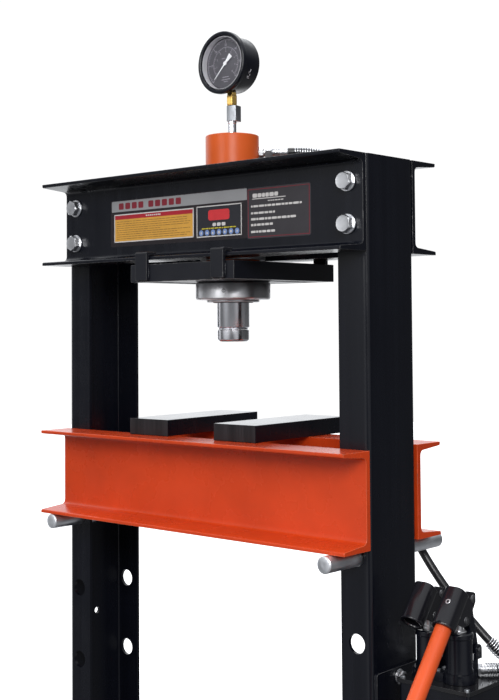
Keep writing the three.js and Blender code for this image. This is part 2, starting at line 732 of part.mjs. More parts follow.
// Cast block with two pump barrels, ears for the links and the valve housing.
function pumpBodyGeometry() {
  const deck = PUMP_DECK + GAP;
  const housing = outline([[416, 12], [505, 12], [505, 35], [482, HOUSING_REAR], [416, HOUSING_REAR]]);
  const pieces = [
    block(LEFT_PUMP_X - 22, RIGHT_PUMP_X + 8, -18, 40, deck, deck + 13.3),
    alongZ(housing, deck, deck + 30),
    bar("z", 23.7, deck, deck + 14.6, [LEFT_PUMP_X, 0], 24),
    bar("z", 26.3, deck, deck + 15.2, [RIGHT_PUMP_X, 0], 24),
    bar("z", 20, deck + 12, 772, [LEFT_PUMP_X, 0], 20),
    bar("z", 22.5, deck + 12, 776, [RIGHT_PUMP_X, 0], 20),
  ];
  for (const x of [LEFT_PUMP_X, RIGHT_PUMP_X]) {
    for (const side of [-1, 1]) {
      const x0 = x + side * 7;
      const x1 = x + side * 12;
      const ear = [Math.min(x0, x1), Math.max(x0, x1), LINK_FOOT.y - 9, LINK_FOOT.y + 9];
      pieces.push(block(...ear, deck + 29, LINK_FOOT.z));
      pieces.push(bar("x", 9, Math.min(x0, x1), Math.max(x0, x1), [LINK_FOOT.y, LINK_FOOT.z], 16));
    }
    pieces.push(bar("x", LINK_PIN_RADIUS, x - 14, x + 14, [LINK_FOOT.y, LINK_FOOT.z], 16));
  }
  return cut(
    joined(...pieces),
    bar("z", 9.4, deck + 20, 790, [LEFT_PUMP_X, 0], 16),
    bar("z", 12.4, deck + 20, 790, [RIGHT_PUMP_X, 0], 16),
    bar("y", 6.3, HOUSING_REAR - 16, HOUSING_REAR + 5, [VALVE.x, VALVE.z], 12),
    bar("x", 6.3, -16, 5, [0, OUTLET.z], 12).rotateZ(OUTLET_ANGLE * DEG).translate(OUTLET.x, OUTLET.y, 0),
  );
}

// Rocking link between the body and a socket, an eye at each end.
function linkGeometry() {
  const half = 6;
  const eye = 8;
  const narrow = 5.5;
  const run = { y: FULCRUM.y - LINK_FOOT.y, z: FULCRUM.z - LINK_FOOT.z };
  const length = Math.hypot(run.y, run.z);
  const side = { y: (-run.z / length) * narrow, z: (run.y / length) * narrow };
  const strip = outline([
    [side.y, side.z], [-side.y, -side.z],
    [run.y - side.y, run.z - side.z], [run.y + side.y, run.z + side.z],
  ]);
  return cut(
    joined(
      alongX(strip, -half, half),
      bar("x", eye, -half, half, [0, 0], 16),
      bar("x", eye, -half, half, [run.y, run.z], 16),
    ),
    bar("x", LINK_PIN_RADIUS + GAP, -20, 20, [0, 0], 12),
    bar("x", LINK_PIN_RADIUS + GAP, -20, 20, [run.y, run.z], 12),
  );
}

// Along the handle, from the top of the socket: forward and down.
const HANDLE_DIRECTION = { y: -Math.sin(HANDLE_TILT * DEG), z: -Math.cos(HANDLE_TILT * DEG) };

function alongHandle(radius, from, to, sides = 20) {
  const middle = (from + to) / 2;
  const round = new THREE.CylinderGeometry(radius, radius, to - from, sides);
  round.rotateX((90 - HANDLE_TILT) * DEG);
  const y = SOCKET_TOP.y + HANDLE_DIRECTION.y * middle;
  const z = SOCKET_TOP.z + HANDLE_DIRECTION.z * middle;
  return round.translate(0, y, z);
}

// Handle socket: a tube with two cheeks that straddle the link and the plunger head.
function socketGeometry() {
  const cheek = outline([
    [SOCKET_TOP.y + 8, SOCKET_TOP.z + 1], [FULCRUM.y + 3, FULCRUM.z + 10], [FULCRUM.y + 9, FULCRUM.z + 5],
    [FULCRUM.y + 9, FULCRUM.z - 6], [FULCRUM.y + 1, 808], [13, PLUNGER_PIN_Z + 3], [8, PLUNGER_PIN_Z - 8],
    [-6, PLUNGER_PIN_Z - 10], [-30, 795], [-38, 800], [-12, 836],
  ]);
  const tube = alongHandle(16.6, 0, SOCKET_LENGTH);
  const cheeks = [alongX(cheek, -PUMP_REACH, -CHEEK_INSIDE), alongX(cheek, CHEEK_INSIDE, PUMP_REACH)];
  return cut(
    joined(
      tube,
      ...cheeks,
      bar("x", LINK_PIN_RADIUS, -PUMP_REACH - 2, PUMP_REACH + 2, [FULCRUM.y, FULCRUM.z], 12),
      bar("x", PLUNGER_PIN_RADIUS, -PUMP_REACH - 2, PUMP_REACH + 2, [0, PLUNGER_PIN_Z], 12),
    ),
    alongHandle(HANDLE_RADIUS + GAP, 5, SOCKET_LENGTH + 30),
  );
}

// Plunger with a slotted head, so the socket's pin can drive it up and down.
function plungerGeometry(radius) {
  const bottom = PUMP_DECK + 24;
  const pin = PLUNGER_PIN_Z;
  const slot = joined(
    block(-20, 20, -2, 2, pin - 5, pin + 5),
    bar("x", 5, -20, 20, [-2, pin], 12),
    bar("x", 5, -20, 20, [2, pin], 12),
  );
  const head = joined(
    bar("z", radius, bottom, pin - 17, [0, 0], 16),
    bar("z", 7.5, pin - 18, pin - 8, [0, 0], 12),
    bar("x", 10.5, -7, 7, [0, pin], 16),
  );
  return cut(head, slot);
}

function handleGeometry() {
  const tube = alongHandle(HANDLE_RADIUS, 6, 6 + HANDLE_LENGTH);
  return cut(tube, alongHandle(HANDLE_RADIUS - 2.5, -5, HANDLE_LENGTH - 10, 12));
}

// Release valve: a knurled knob on a screw spindle at the back of the housing.
function valveGeometry() {
  return joined(
    bar("y", 6, -14, 4, [0, 0], 16),
    bar("y", 12.5, 3, 14, [0, 0], 24),
  );
}

// Outlet nipple with the crimped end of the hose.
function outletGeometry() {
  return joined(
    bar("x", 6, -12, 3, [0, 0], 16),
    bar("x", 9.6, GAP, 7, [0, 0], 6),
    bar("x", 9, 6.5, OUTLET_LENGTH - GAP, [0, 0], 20),
  );
}

function buildPump() {
  const pump = new THREE.Group();
  add(pump, "pump_bracket", bracketGeometry(), blackPaint);
  const bolt = bracketBoltGeometry();
  add(pump, "bracket_bolt_upper", bolt, zinc).position.z = BRACKET_BOLT_LEVELS[0];
  add(pump, "bracket_bolt_lower", bolt, zinc).position.z = BRACKET_BOLT_LEVELS[1];
  add(pump, "oil_tank", tankGeometry(), blackPaint);
  add(pump, "tank_cover", coverGeometry(), blackPaint);
  add(pump, "filler_plug", fillerPlugGeometry(), zinc).position.set(FILLER.x, FILLER.y, 0);
  add(pump, "pump_body", pumpBodyGeometry(), blackPaint);
  const link = linkGeometry();
  const socket = socketGeometry();
  for (const [side, x, radius] of [["left", LEFT_PUMP_X, 9], ["right", RIGHT_PUMP_X, 12]]) {
    add(pump, `${side}_link`, link, blackPaint).position.set(x, LINK_FOOT.y, LINK_FOOT.z);
    add(pump, `${side}_handle_socket`, socket, blackPaint).position.x = x;
    add(pump, `${side}_plunger`, plungerGeometry(radius), steel).position.x = x;
  }
  add(pump, "pump_handle", handleGeometry(), orangePaint).position.x = RIGHT_PUMP_X;
  add(pump, "release_valve", valveGeometry(), caseBlack).position.set(VALVE.x, HOUSING_REAR, VALVE.z);
  const outlet = add(pump, "pump_outlet", outletGeometry(), zinc);
  outlet.position.set(OUTLET.x, OUTLET.y, OUTLET.z);
  outlet.rotation.z = OUTLET_ANGLE * DEG;
  return pump;
}

// ---------------------------------------------------------------- hose

// From the ram's fitting over the head, down behind the right upright and round into the pump outlet.
const HOSE_ROUTE = [
  [96.95, 64.03, 1580],
  [108.8, 73.3, 1580],
  [128, 91, 1578.5],
  [145, 113, 1572],
  [155, 139, 1557],
  [159, 163, 1532],
  [159, 183, 1495],
  [156, 197, 1450],
  [154, 205, 1402],
  [155, 209, 1353],
  [159, 210, 1305],
  [167, 208, 1256],
  [178, 203, 1208],
  [191, 198, 1163],
  [204, 194, 1118],
  [218, 187, 1074],
  [233, 179, 1029],
  [250, 172, 986],
  [269, 164, 943],
  [291, 160, 902],
  [316, 160, 862],
  [342, 165, 823],
  [366, 174, 788],
  [389, 186, 756],
  [410, 194, 731],
  [428, 198.5, 713],
  [445, 200, 698.5],
  [462, 200.5, 689],
  [480, 200.5, 683.3],
  [496, 200, 682.5],
  [519.7, 195.3, 684.3],
  [539.8, 181.8, 688],
  [553.3, 161.7, 693],
  [558, 138, 698.5],
  [553.3, 114.3, 703.8],
  [539.8, 94, 707.3],
  [528.5, 82.5, 708],
  [517, 71, 708],
];

function hoseGeometry() {
  const points = HOSE_ROUTE.map((point) => new THREE.Vector3(...point));
  const curve = new THREE.CatmullRomCurve3(points, false, "centripetal");
  return swept(curve, HOSE_RADIUS, 8, HOSE_STEPS);
}

press.add(buildFrame());
press.add(buildBase());
press.add(buildBed());
press.add(buildRam());
press.add(buildPump());
add(press, "hydraulic_hose", hoseGeometry(), hoseRubber);

export default press;
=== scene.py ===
"""Looks of the hydraulic shop press, built around its CAD frame.

The helpers take millimetres in press coordinates: X from the middle of the head, Y away from the operator,
Z up from the floor. to_row() turns them into the row frame, in metres.
"""
import math
import random

import bmesh
import bpy
from mathutils import Matrix, Vector


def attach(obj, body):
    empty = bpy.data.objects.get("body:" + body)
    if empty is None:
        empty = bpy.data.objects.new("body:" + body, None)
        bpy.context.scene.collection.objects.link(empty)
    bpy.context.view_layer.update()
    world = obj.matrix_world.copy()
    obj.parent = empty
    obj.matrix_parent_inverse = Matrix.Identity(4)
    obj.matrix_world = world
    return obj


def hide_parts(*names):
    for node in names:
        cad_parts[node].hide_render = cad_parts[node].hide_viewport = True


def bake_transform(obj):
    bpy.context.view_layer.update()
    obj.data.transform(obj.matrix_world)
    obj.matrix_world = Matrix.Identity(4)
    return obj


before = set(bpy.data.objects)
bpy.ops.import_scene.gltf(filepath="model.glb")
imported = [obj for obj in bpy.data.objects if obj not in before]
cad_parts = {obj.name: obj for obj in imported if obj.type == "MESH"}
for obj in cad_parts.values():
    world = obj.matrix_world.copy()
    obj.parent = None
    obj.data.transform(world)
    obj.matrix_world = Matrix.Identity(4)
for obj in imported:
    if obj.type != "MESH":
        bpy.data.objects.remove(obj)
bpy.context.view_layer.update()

# ---------------------------------------------------------------- dimensions, as in the part

CENTRE_X = 79.5
GAP = 0.3
UPRIGHT_OUTER_X = 370
UPRIGHT_DEPTH = 132
UPRIGHT_FLANGE = 60
UPRIGHT_THICK = 6
UPRIGHT_BEND = 9
FOOT_HEIGHT = 50
HEAD_BOTTOM = 1380
HEAD_TOP = 1540
HEAD_HALF = 369
HEAD_WEB = 8.5
HEAD_FLANGE = 70.4
HEAD_BOLT_X = 338
HEAD_BOLT_LEVELS = (1425, 1495)
CHANNEL_HEIGHT = 160
HOLE_X = 341
HOLE_RADIUS = 16
HOLE_TOP_Z = 885
HOLE_PITCH = 140
HOLE_ROWS = 6
PIN_RADIUS = 14
PIN_LENGTH = 320
PIN_Z = 883.3
BED_HALF = 372
BED_WEB = 10
BED_FLANGE = 70
BED_BOTTOM = 897.6
BED_TOP = 1057.6
BED_BACK = 67.5
RAM_X = 15
CYLINDER_RADIUS = 49.5
CYLINDER_BOTTOM = 1303
CYLINDER_TOP = 1611
BORE_RADIUS = 37.5
BORE_TOP = 1590
ROD_RADIUS = 30
NOSE_BOTTOM = 1231
NOSE_TOP = 1252.7
NOSE_RADIUS = 29.2
PISTON_BOTTOM = 1530
PISTON_TOP = 1557
GLAND_TOP = 1375
RING_RADIUS = 68.8
RING_BOTTOM = 1307.6
CARRIAGE_BOTTOM = 1340
CARRIAGE_TOP = 1372
CARRIAGE_HALF_X = 128
CARRIAGE_HALF_Y = 138
SIDE_BAR = 25
END_BAR = 16
HOOK_X = 94
PORT_Z = 1580
PORT_TURN = 38
GAUGE_Z = 1744.2
GAUGE_CASE_RADIUS = 51.8
GAUGE_BEZEL_RADIUS = 57.8
GAUGE_BACK = -22
GAUGE_FRONT = 31
PIPE_TOP = 1637.7
ADAPTER_TOP = 1667.3
TANK_LEFT, TANK_RIGHT = 405, 534
TANK_FRONT, TANK_REAR = -42, 110
TANK_BOTTOM, TANK_TOP = 560, 692
RIGHT_PUMP_X = 492
LEFT_PUMP_X = 434
PUMP_DECK = 698
BRACKET_BOLT_LEVELS = (686, 494)
FULCRUM = (20, 826)
LINK_FOOT = (40, 742)
PLUNGER_PIN_Z = 795
HANDLE_TILT = math.radians(40)
SOCKET_TOP = (-2.4, 839)
SOCKET_LENGTH = 66
HOUSING_REAR = 58
VALVE_X = 450
VALVE_Z = 713
FILLER = (424, 90)

OUTLET = (493, 47, 708)
OUTLET_TURN = 45
OUTLET_LENGTH = 34

# Frames whose X axis points out of the ram's hose port and out of the pump's outlet, to the rear of the right.
PORT_FRAME = Matrix.Translation((RAM_X, 0, PORT_Z)) @ Matrix.Rotation(math.radians(PORT_TURN), 4, "Z")
OUTLET_FRAME = Matrix.Translation(OUTLET) @ Matrix.Rotation(math.radians(OUTLET_TURN), 4, "Z")
TO_ROW = Matrix.Translation((-CENTRE_X / 1000, 0, 0)) @ Matrix.Scale(0.001, 4)


# ---------------------------------------------------------------- camera

CAMERA_PLACE = (1.49401, -1.70577, 1.26198)
CAMERA_YAW_PITCH_ROLL = (41.664, 2.1905, -0.3952)
CAMERA_LENS = 64.40
CAMERA_SHIFT_Y = -0.1049


def place_camera():
    yaw, pitch, roll = (math.radians(a) for a in CAMERA_YAW_PITCH_ROLL)
    level = Vector((-math.sin(yaw), math.cos(yaw), 0))
    side = Vector((math.cos(yaw), math.sin(yaw), 0))
    up = Vector((0, 0, 1))
    forward = level * math.cos(pitch) + up * math.sin(pitch)
    lifted = up * math.cos(pitch) - level * math.sin(pitch)
    right = side * math.cos(roll) + lifted * math.sin(roll)
    top = lifted * math.cos(roll) - side * math.sin(roll)
    data = bpy.data.cameras.new("camera")
    data.sensor_width = 36
    data.lens = CAMERA_LENS
    data.shift_y = CAMERA_SHIFT_Y
    data.clip_end = 100
    camera = bpy.data.objects.new("camera", data)
    bpy.context.scene.collection.objects.link(camera)
    turn = Matrix((right, top, -forward)).transposed().to_4x4()
    camera.matrix_world = Matrix.Translation(CAMERA_PLACE) @ turn
    bpy.context.scene.camera = camera


place_camera()

# ---------------------------------------------------------------- mesh helpers

SMOOTH_ANGLE = math.radians(32)


def grid_faces(bm, rings, closed=True):
    """Joins successive rings of vertices with quads."""
    for a, b in zip(rings, rings[1:]):
        count = len(a)
        for i in range(count if closed else count - 1):
            j = (i + 1) % count
            bm.faces.new((a[i], a[j], b[j], b[i]))


def ring_of(bm, centre, u, v, radius, sides):
    points = []
    for i in range(sides):
        angle = 2 * math.pi * i / sides
        points.append(bm.verts.new(centre + (u * math.cos(angle) + v * math.sin(angle)) * radius))
    return points


def axes_for(axis):
    """The direction of "x", "y" or "z" and two directions square to it."""
    if axis == "x":
        return Vector((1, 0, 0)), Vector((0, 1, 0)), Vector((0, 0, 1))
    if axis == "y":
        return Vector((0, 1, 0)), Vector((0, 0, 1)), Vector((1, 0, 0))
    return Vector((0, 0, 1)), Vector((1, 0, 0)), Vector((0, 1, 0))


def lathe(bm, profile, origin=(0, 0, 0), axis="z", sides=96, closed=False, basis=None):
    """Turns [radius, height] points about an axis. closed joins the last point to the first."""
    along, u, v = basis or axes_for(axis)
    origin = Vector(origin)
    rings = []
    for radius, height in profile:
        centre = origin + along * height
        if radius < 1e-6:
            rings.append([bm.verts.new(centre)])
        else:
            rings.append(ring_of(bm, centre, u, v, radius, sides))
    pairs = list(zip(rings, rings[1:]))
    if closed:
        pairs.append((rings[-1], rings[0]))
    for a, b in pairs:
        if len(a) == 1 and len(b) == 1:
            continue
        for i in range(sides):
            j = (i + 1) % sides
            if len(a) == 1:
                bm.faces.new((a[0], b[j], b[i]))
            elif len(b) == 1:
                bm.faces.new((a[i], a[j], b[0]))
            else:
                bm.faces.new((a[i], a[j], b[j], b[i]))
    return bm


def prism(bm, outline, axis, low, high, basis=None, origin=(0, 0, 0)):
    """Extrudes an outline: (y, z) along x, (z, x) along y, (x, y) along z."""
    along, u, v = basis or axes_for(axis)
    origin = Vector(origin)
    ends = []
    for height in (low, high):
        ends.append([bm.verts.new(origin + along * height + u * a + v * b) for a, b in outline])
    bm.faces.new(list(reversed(ends[0])))
    bm.faces.new(ends[1])
    grid_faces(bm, ends)
    return bm


def box(bm, x0, x1, y0, y1, z0, z1):
    return prism(bm, [(x0, y0), (x1, y0), (x1, y1), (x0, y1)], "z", z0, z1)


def hexagon(across_flats, turn=0.0):
    radius = across_flats / math.sqrt(3)
    return [
        (radius * math.cos(turn + i * math.pi / 3), radius * math.sin(turn + i * math.pi / 3)) for i in range(6)
    ]


def rounded(width, height, radius, steps=6):
    """Outline of a rectangle with round corners, centred on the origin."""
    points = []
    for cx, cy, start in ((1, 1, 0), (-1, 1, 90), (-1, -1, 180), (1, -1, 270)):
        for i in range(steps + 1):
            angle = math.radians(start + 90 * i / steps)
            points.append((
                cx * (width / 2 - radius) + radius * math.cos(angle),
                cy * (height / 2 - radius) + radius * math.sin(angle),
            ))
    return points


def frames_along(points):
    """Tangent and two square directions at each point, carried along without twist."""
    count = len(points)
    tangents = []
    for i in range(count):
        tangents.append((points[min(i + 1, count - 1)] - points[max(i - 1, 0)]).normalized())
    start = Vector((0, 0, 1)) if abs(tangents[0].z) < 0.9 else Vector((1, 0, 0))
    u = (start - tangents[0] * start.dot(tangents[0])).normalized()
    frames = []
    for tangent in tangents:
        u = (u - tangent * u.dot(tangent)).normalized()
        frames.append((tangent, u, tangent.cross(u)))
    return frames


def tube(bm, points, radius, sides=16, capped=True):
    """Round section along points. radius is a number or a list, one per point."""
    points = [Vector(p) for p in points]
    radii = radius if isinstance(radius, list) else [radius] * len(points)
    rings = []
    for point, (_, u, v), r in zip(points, frames_along(points), radii):
        rings.append(ring_of(bm, point, u, v, r, sides))
    grid_faces(bm, rings)
    if capped:
        bm.faces.new(list(reversed(rings[0])))
        bm.faces.new(rings[-1])
    return bm


def spline(points, per_span=8):
    """Centripetal Catmull-Rom line through points, as the part's hose follows."""
    points = [Vector(p) for p in points]
    first = points[0] * 2 - points[1]
    last = points[-1] * 2 - points[-2]
    padded = [first] + points + [last]
    line = []
    for k in range(1, len(padded) - 2):
        p0, p1, p2, p3 = padded[k - 1:k + 3]
        d0, d1, d2 = ((b - a).length ** 0.5 for a, b in ((p0, p1), (p1, p2), (p2, p3)))
        t1 = ((p1 - p0) / d0 - (p2 - p0) / (d0 + d1) + (p2 - p1) / d1) * d1
        t2 = ((p2 - p1) / d1 - (p3 - p1) / (d1 + d2) + (p3 - p2) / d2) * d1
        for i in range(per_span):
            w = i / per_span
            line.append(
                p1 + t1 * w + (-3 * p1 + 3 * p2 - 2 * t1 - t2) * w ** 2 + (2 * p1 - 2 * p2 + t1 + t2) * w ** 3
            )
    line.append(points[-1])
    return line


def resampled(line, step):
    """Points an even step apart along a line."""
    lengths = [0.0]
    for a, b in zip(line, line[1:]):
        lengths.append(lengths[-1] + (b - a).length)
    count = max(2, round(lengths[-1] / step))
    out = []
    k = 0
    for i in range(count + 1):
        target = lengths[-1] * i / count
        while k < len(line) - 2 and lengths[k + 1] < target:
            k += 1
        span = lengths[k + 1] - lengths[k]
        out.append(line[k].lerp(line[k + 1], (target - lengths[k]) / span if span else 0))
    return out


def coil_around(bm, line, radius, wire, pitch, steps_per_turn=14, sides=6):
    """A spring of round wire wound about a line."""
    length = sum((b - a).length for a, b in zip(line, line[1:]))
    turns = length / pitch
    fine = resampled(line, length / (turns * steps_per_turn))
    centres = []
    for i, (point, (_, u, v)) in enumerate(zip(fine, frames_along(fine))):
        angle = 2 * math.pi * i / steps_per_turn
        centres.append(point + (u * math.cos(angle) + v * math.sin(angle)) * radius)
    return tube(bm, centres, wire, sides)


def weld_bead(bm, start, end, radius=3.0, pitch=3.2, seed=1):
    """A fillet bead: overlapping ripples along a line."""
    rng = random.Random(seed)
    start, end = Vector(start), Vector(end)
    length = (end - start).length
    steps = max(6, int(length / pitch) * 4)
    points, radii = [], []
    wobble = 0.0
    for i in range(steps + 1):
        t = i / steps
        wobble = 0.7 * wobble + 0.3 * rng.uniform(-1, 1)
        ripple = abs(math.sin(math.pi * t * length / pitch))
        taper = min(1.0, 6 * t + 0.35, 6 * (1 - t) + 0.35)
        points.append(start.lerp(end, t) + Vector((wobble, wobble, 0)) * 0.25 * radius * 0.5)
        radii.append(radius * taper * (0.82 + 0.2 * ripple + 0.06 * wobble))
    return tube(bm, points, radii, 10)


def finish_mesh(name, bm, material, body, replaces=(), bevel=0.0, segments=2, angle=SMOOTH_ANGLE,
                edge_material=None):
    """Makes the object in the row frame, smooths it by angle, bevels it and hangs it on its body."""
    bmesh.ops.recalc_face_normals(bm, faces=bm.faces[:])
    bm.transform(TO_ROW)
    mesh = bpy.data.meshes.new(name)
    bm.to_mesh(mesh)
    bm.free()
    mesh.shade_smooth()
    mesh.set_sharp_from_angle(angle=angle)
    mesh.materials.append(material)
    if edge_material:
        mesh.materials.append(edge_material)
    piece = bpy.data.objects.new(name, mesh)
    bpy.context.scene.collection.objects.link(piece)
    if bevel:
        rounding = piece.modifiers.new("bevel", "BEVEL")
        rounding.width = bevel / 1000
        rounding.segments = segments
        rounding.limit_method = "ANGLE"
        rounding.angle_limit = math.radians(40)
        rounding.harden_normals = True
        # Bevel faces take the edge material: its lighter colour is a painted edge highlight, its bare patches are
        # wear.
        if edge_material:
            rounding.material = 1
    if replaces:
        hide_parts(*replaces)
    if body:
        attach(piece, body)
    return piece


def subtracted(bm, cutters):
    """bm with the cutter meshes taken away, by Blender's exact boolean."""
    def temporary(source):
        mesh = bpy.data.meshes.new("tmp")
        bmesh.ops.recalc_face_normals(source, faces=source.faces[:])
        source.to_mesh(mesh)
        source.free()
        thing = bpy.data.objects.new("tmp", mesh)
        bpy.context.scene.collection.objects.link(thing)
        return thing
    base = temporary(bm)
    tools = [temporary(cutter) for cutter in cutters]
    for tool in tools:
        cut = base.modifiers.new("cut", "BOOLEAN")
        cut.operation = "DIFFERENCE"
        cut.solver = "EXACT"
        cut.object = tool
    bpy.context.view_layer.update()
    shaped = base.evaluated_get(bpy.context.evaluated_depsgraph_get())
    result = bmesh.new()
    result.from_mesh(shaped.to_mesh())
    shaped.to_mesh_clear()
    for thing in [base] + tools:
        mesh = thing.data
        bpy.data.objects.remove(thing)
        bpy.data.meshes.remove(mesh)
    return result


def rod_cutter(axis, radius, low, high, origin, sides=48):
    bm = bmesh.new()
    return lathe(bm, [(0, low), (radius, low), (radius, high), (0, high)], origin, axis, sides)


# ---------------------------------------------------------------- materials

class Nodes:
    """A material's node tree, with short ways to add and join nodes."""

    def __init__(self, name):
        self.material = bpy.data.materials.new(name)
        self.material.use_nodes = True
        self.tree = self.material.node_tree
        self.shader = self.tree.nodes["Principled BSDF"]
        self.place = self.add("ShaderNodeTexCoord").outputs["Object"]

    def add(self, kind, **settings):
        node = self.tree.nodes.new(kind)
        for key, value in settings.items():
            if key in node.inputs:
                node.inputs[key].default_value = value
            else:
                setattr(node, key, value)
        return node

    def link(self, source, target):
        self.tree.links.new(source, target)

    def noise(self, scale, detail=3.0, roughness=0.55, stretch=None):
        node = self.add("ShaderNodeTexNoise", Scale=scale, Detail=detail, Roughness=roughness)
        source = self.place
        if stretch:
            mapping = self.add("ShaderNodeMapping", Scale=stretch)
            self.link(source, mapping.inputs["Vector"])
            source = mapping.outputs["Vector"]
        self.link(source, node.inputs["Vector"])
        return node.outputs["Fac"]

    def ramp(self, source, low, high, from_value=0.0, to_value=1.0):
        node = self.add("ShaderNodeMapRange")
        node.inputs["From Min"].default_value = low
        node.inputs["From Max"].default_value = high
        node.inputs["To Min"].default_value = from_value
        node.inputs["To Max"].default_value = to_value
        self.link(source, node.inputs["Value"])
        return node.outputs["Result"]

    def mixed(self, factor, a, b):
        node = self.add("ShaderNodeMix", data_type="RGBA")
        self.link(factor, node.inputs[0])
        for value, socket in ((a, node.inputs[6]), (b, node.inputs[7])):
            if hasattr(value, "is_linked"):
                self.link(value, socket)
            else:
                socket.default_value = (*value, 1)
        return node.outputs[2]

    def product(self, a, b):
        node = self.add("ShaderNodeMath", operation="MULTIPLY")
        for value, socket in ((a, node.inputs[0]), (b, node.inputs[1])):
            if hasattr(value, "is_linked"):
                self.link(value, socket)
            else:
                socket.default_value = value
        return node.outputs[0]

    def total(self, a, b):
        node = self.add("ShaderNodeMath", operation="ADD")
        self.link(a, node.inputs[0])
        self.link(b, node.inputs[1])
        return node.outputs[0]

    def bump(self, height, strength, distance):
        node = self.add("ShaderNodeBump", Strength=strength, Distance=distance)
        self.link(height, node.inputs["Height"])
        self.link(node.outputs["Normal"], self.shader.inputs["Normal"])

    def set(self, **values):
        for key, value in values.items():
            self.shader.inputs[key.replace("_", " ")].default_value = value


UPRIGHT_STREAKS = (1, 1, 0.03)


def paint(name, color, roughness, ior=1.45, dust=0.02, peel=0.25, dust_color=(0.35, 0.34, 0.33), streaks=0.0):
    """Sprayed enamel: orange peel, colour drift, dust, uneven gloss and, on rolled steel, upright streaks."""
    n = Nodes(name)
    drift = n.ramp(n.noise(6, 4), 0.3, 0.7)
    if streaks:
        streak = n.ramp(n.noise(38, 4, 0.6, UPRIGHT_STREAKS), 0.35, 0.7)
        drift = n.total(n.product(drift, 1 - streaks), n.product(streak, streaks))
    dark = tuple(c * 0.84 for c in color)
    light = tuple(min(1, c * 1.12 + 0.0012) for c in color)
    base = n.mixed(drift, dark, light)
    specks = n.ramp(n.noise(420, 2), 0.66, 0.76, 0, dust)
    n.link(n.mixed(specks, base, dust_color), n.shader.inputs["Base Color"])
    gloss = n.total(n.ramp(n.noise(14, 5), 0.3, 0.7, roughness * 0.85, roughness * 1.18),
                    n.ramp(n.noise(38, 4, 0.6, UPRIGHT_STREAKS), 0.35, 0.7, 0, 0.10 * streaks))
    n.link(gloss, n.shader.inputs["Roughness"])
    n.set(IOR=ior)
    wave = n.total(n.product(n.noise(260, 2), 0.35), n.product(n.noise(60, 3), 0.65))
    n.bump(wave, peel, 0.0003)
    return n.material


def edge_wear(name, color, bare, amount, roughness):
    """The rounded edges of painted steel: mostly paint in a colour lighter than the faces', a painted edge highlight,
    thinned to bare metal in patches by wear.
    """
    n = Nodes(name)
    patch = n.product(n.ramp(n.noise(28, 5, 0.65), 0.52, 0.62), n.ramp(n.noise(190, 3), 0.40, 0.60))
    mask = n.product(patch, amount)
    n.link(n.mixed(mask, color, bare), n.shader.inputs["Base Color"])
    n.link(n.product(mask, 0.8), n.shader.inputs["Metallic"])
    n.link(n.ramp(n.noise(90, 3), 0.3, 0.7, roughness, roughness + 0.15), n.shader.inputs["Roughness"])
    n.bump(n.noise(160, 3), 0.3, 0.0004)
    return n.material


def metal(name, color, roughness, stretch=None, grain=120, grain_strength=0.12, mottled=0.06):
    """Bare or plated metal with fine tool marks and faint stains."""
    n = Nodes(name)
    stain = n.ramp(n.noise(22, 5, 0.6), 0.35, 0.72)
    stained = tuple(c * (1 - mottled * 2.2) for c in color)
    n.link(n.mixed(stain, color, stained), n.shader.inputs["Base Color"])
    n.set(Metallic=1.0)
    marks = n.noise(grain, 3, 0.6, stretch)
    smear = n.ramp(n.noise(35, 4), 0.3, 0.7, roughness * 0.7, roughness * 1.3)
    n.link(n.total(smear, n.ramp(marks, 0.4, 0.8, 0, 0.06)), n.shader.inputs["Roughness"])
    n.bump(marks, grain_strength, 0.0003)
    return n.material


def plain(name, color, roughness, metallic=0.0, ior=1.45, grain=500, strength=0.15):
    """Printed ink, moulded plastic or rubber: even colour with a fine texture and small drift."""
    n = Nodes(name)
    drift = n.ramp(n.noise(40, 4), 0.3, 0.7)
    n.link(n.mixed(drift, tuple(c * 0.9 for c in color), tuple(min(1, c * 1.06) for c in color)),
           n.shader.inputs["Base Color"])
    n.link(n.ramp(n.noise(120, 3), 0.3, 0.7, roughness * 0.88, roughness * 1.14), n.shader.inputs["Roughness"])
    n.set(Metallic=metallic, IOR=ior)
    n.bump(n.noise(grain, 2), strength, 0.0002)
    return n.material


def glass(name):
    n = Nodes(name)
    n.set(Transmission_Weight=1.0, IOR=1.05, Alpha=0.12, Specular_IOR_Level=0.5)
    smear = n.ramp(n.noise(60, 4), 0.4, 0.8, 0.02, 0.09)
    n.link(smear, n.shader.inputs["Roughness"])
    n.shader.inputs["Base Color"].default_value = (0.95, 0.97, 0.98, 1)
    return n.material


BLACK = (0.0030, 0.0038, 0.0078)
ORANGE = (0.575, 0.050, 0.007)
black_paint = paint("black_paint", BLACK, 0.22, ior=1.42, dust=0.012, peel=0.12, streaks=0.7)
black_matt = paint("black_satin_paint", (0.0055, 0.0062, 0.0105), 0.34, ior=1.45, dust=0.015, peel=0.18)
# Edge colour lighter than the black paint: a painted edge highlight, with real wear to bare metal in patches.
black_edge = edge_wear("black_paint_edge", (0.012, 0.012, 0.014), (0.34, 0.33, 0.33), 0.55, 0.26)
orange_paint = paint("orange_paint", ORANGE, 0.27, dust=0.02, peel=0.15, dust_color=(0.30, 0.10, 0.06))
cylinder_paint = paint("cylinder_paint", (0.57, 0.090, 0.013), 0.34, ior=1.33, dust=0.02, peel=0.15,
                       dust_color=(0.30, 0.10, 0.06))
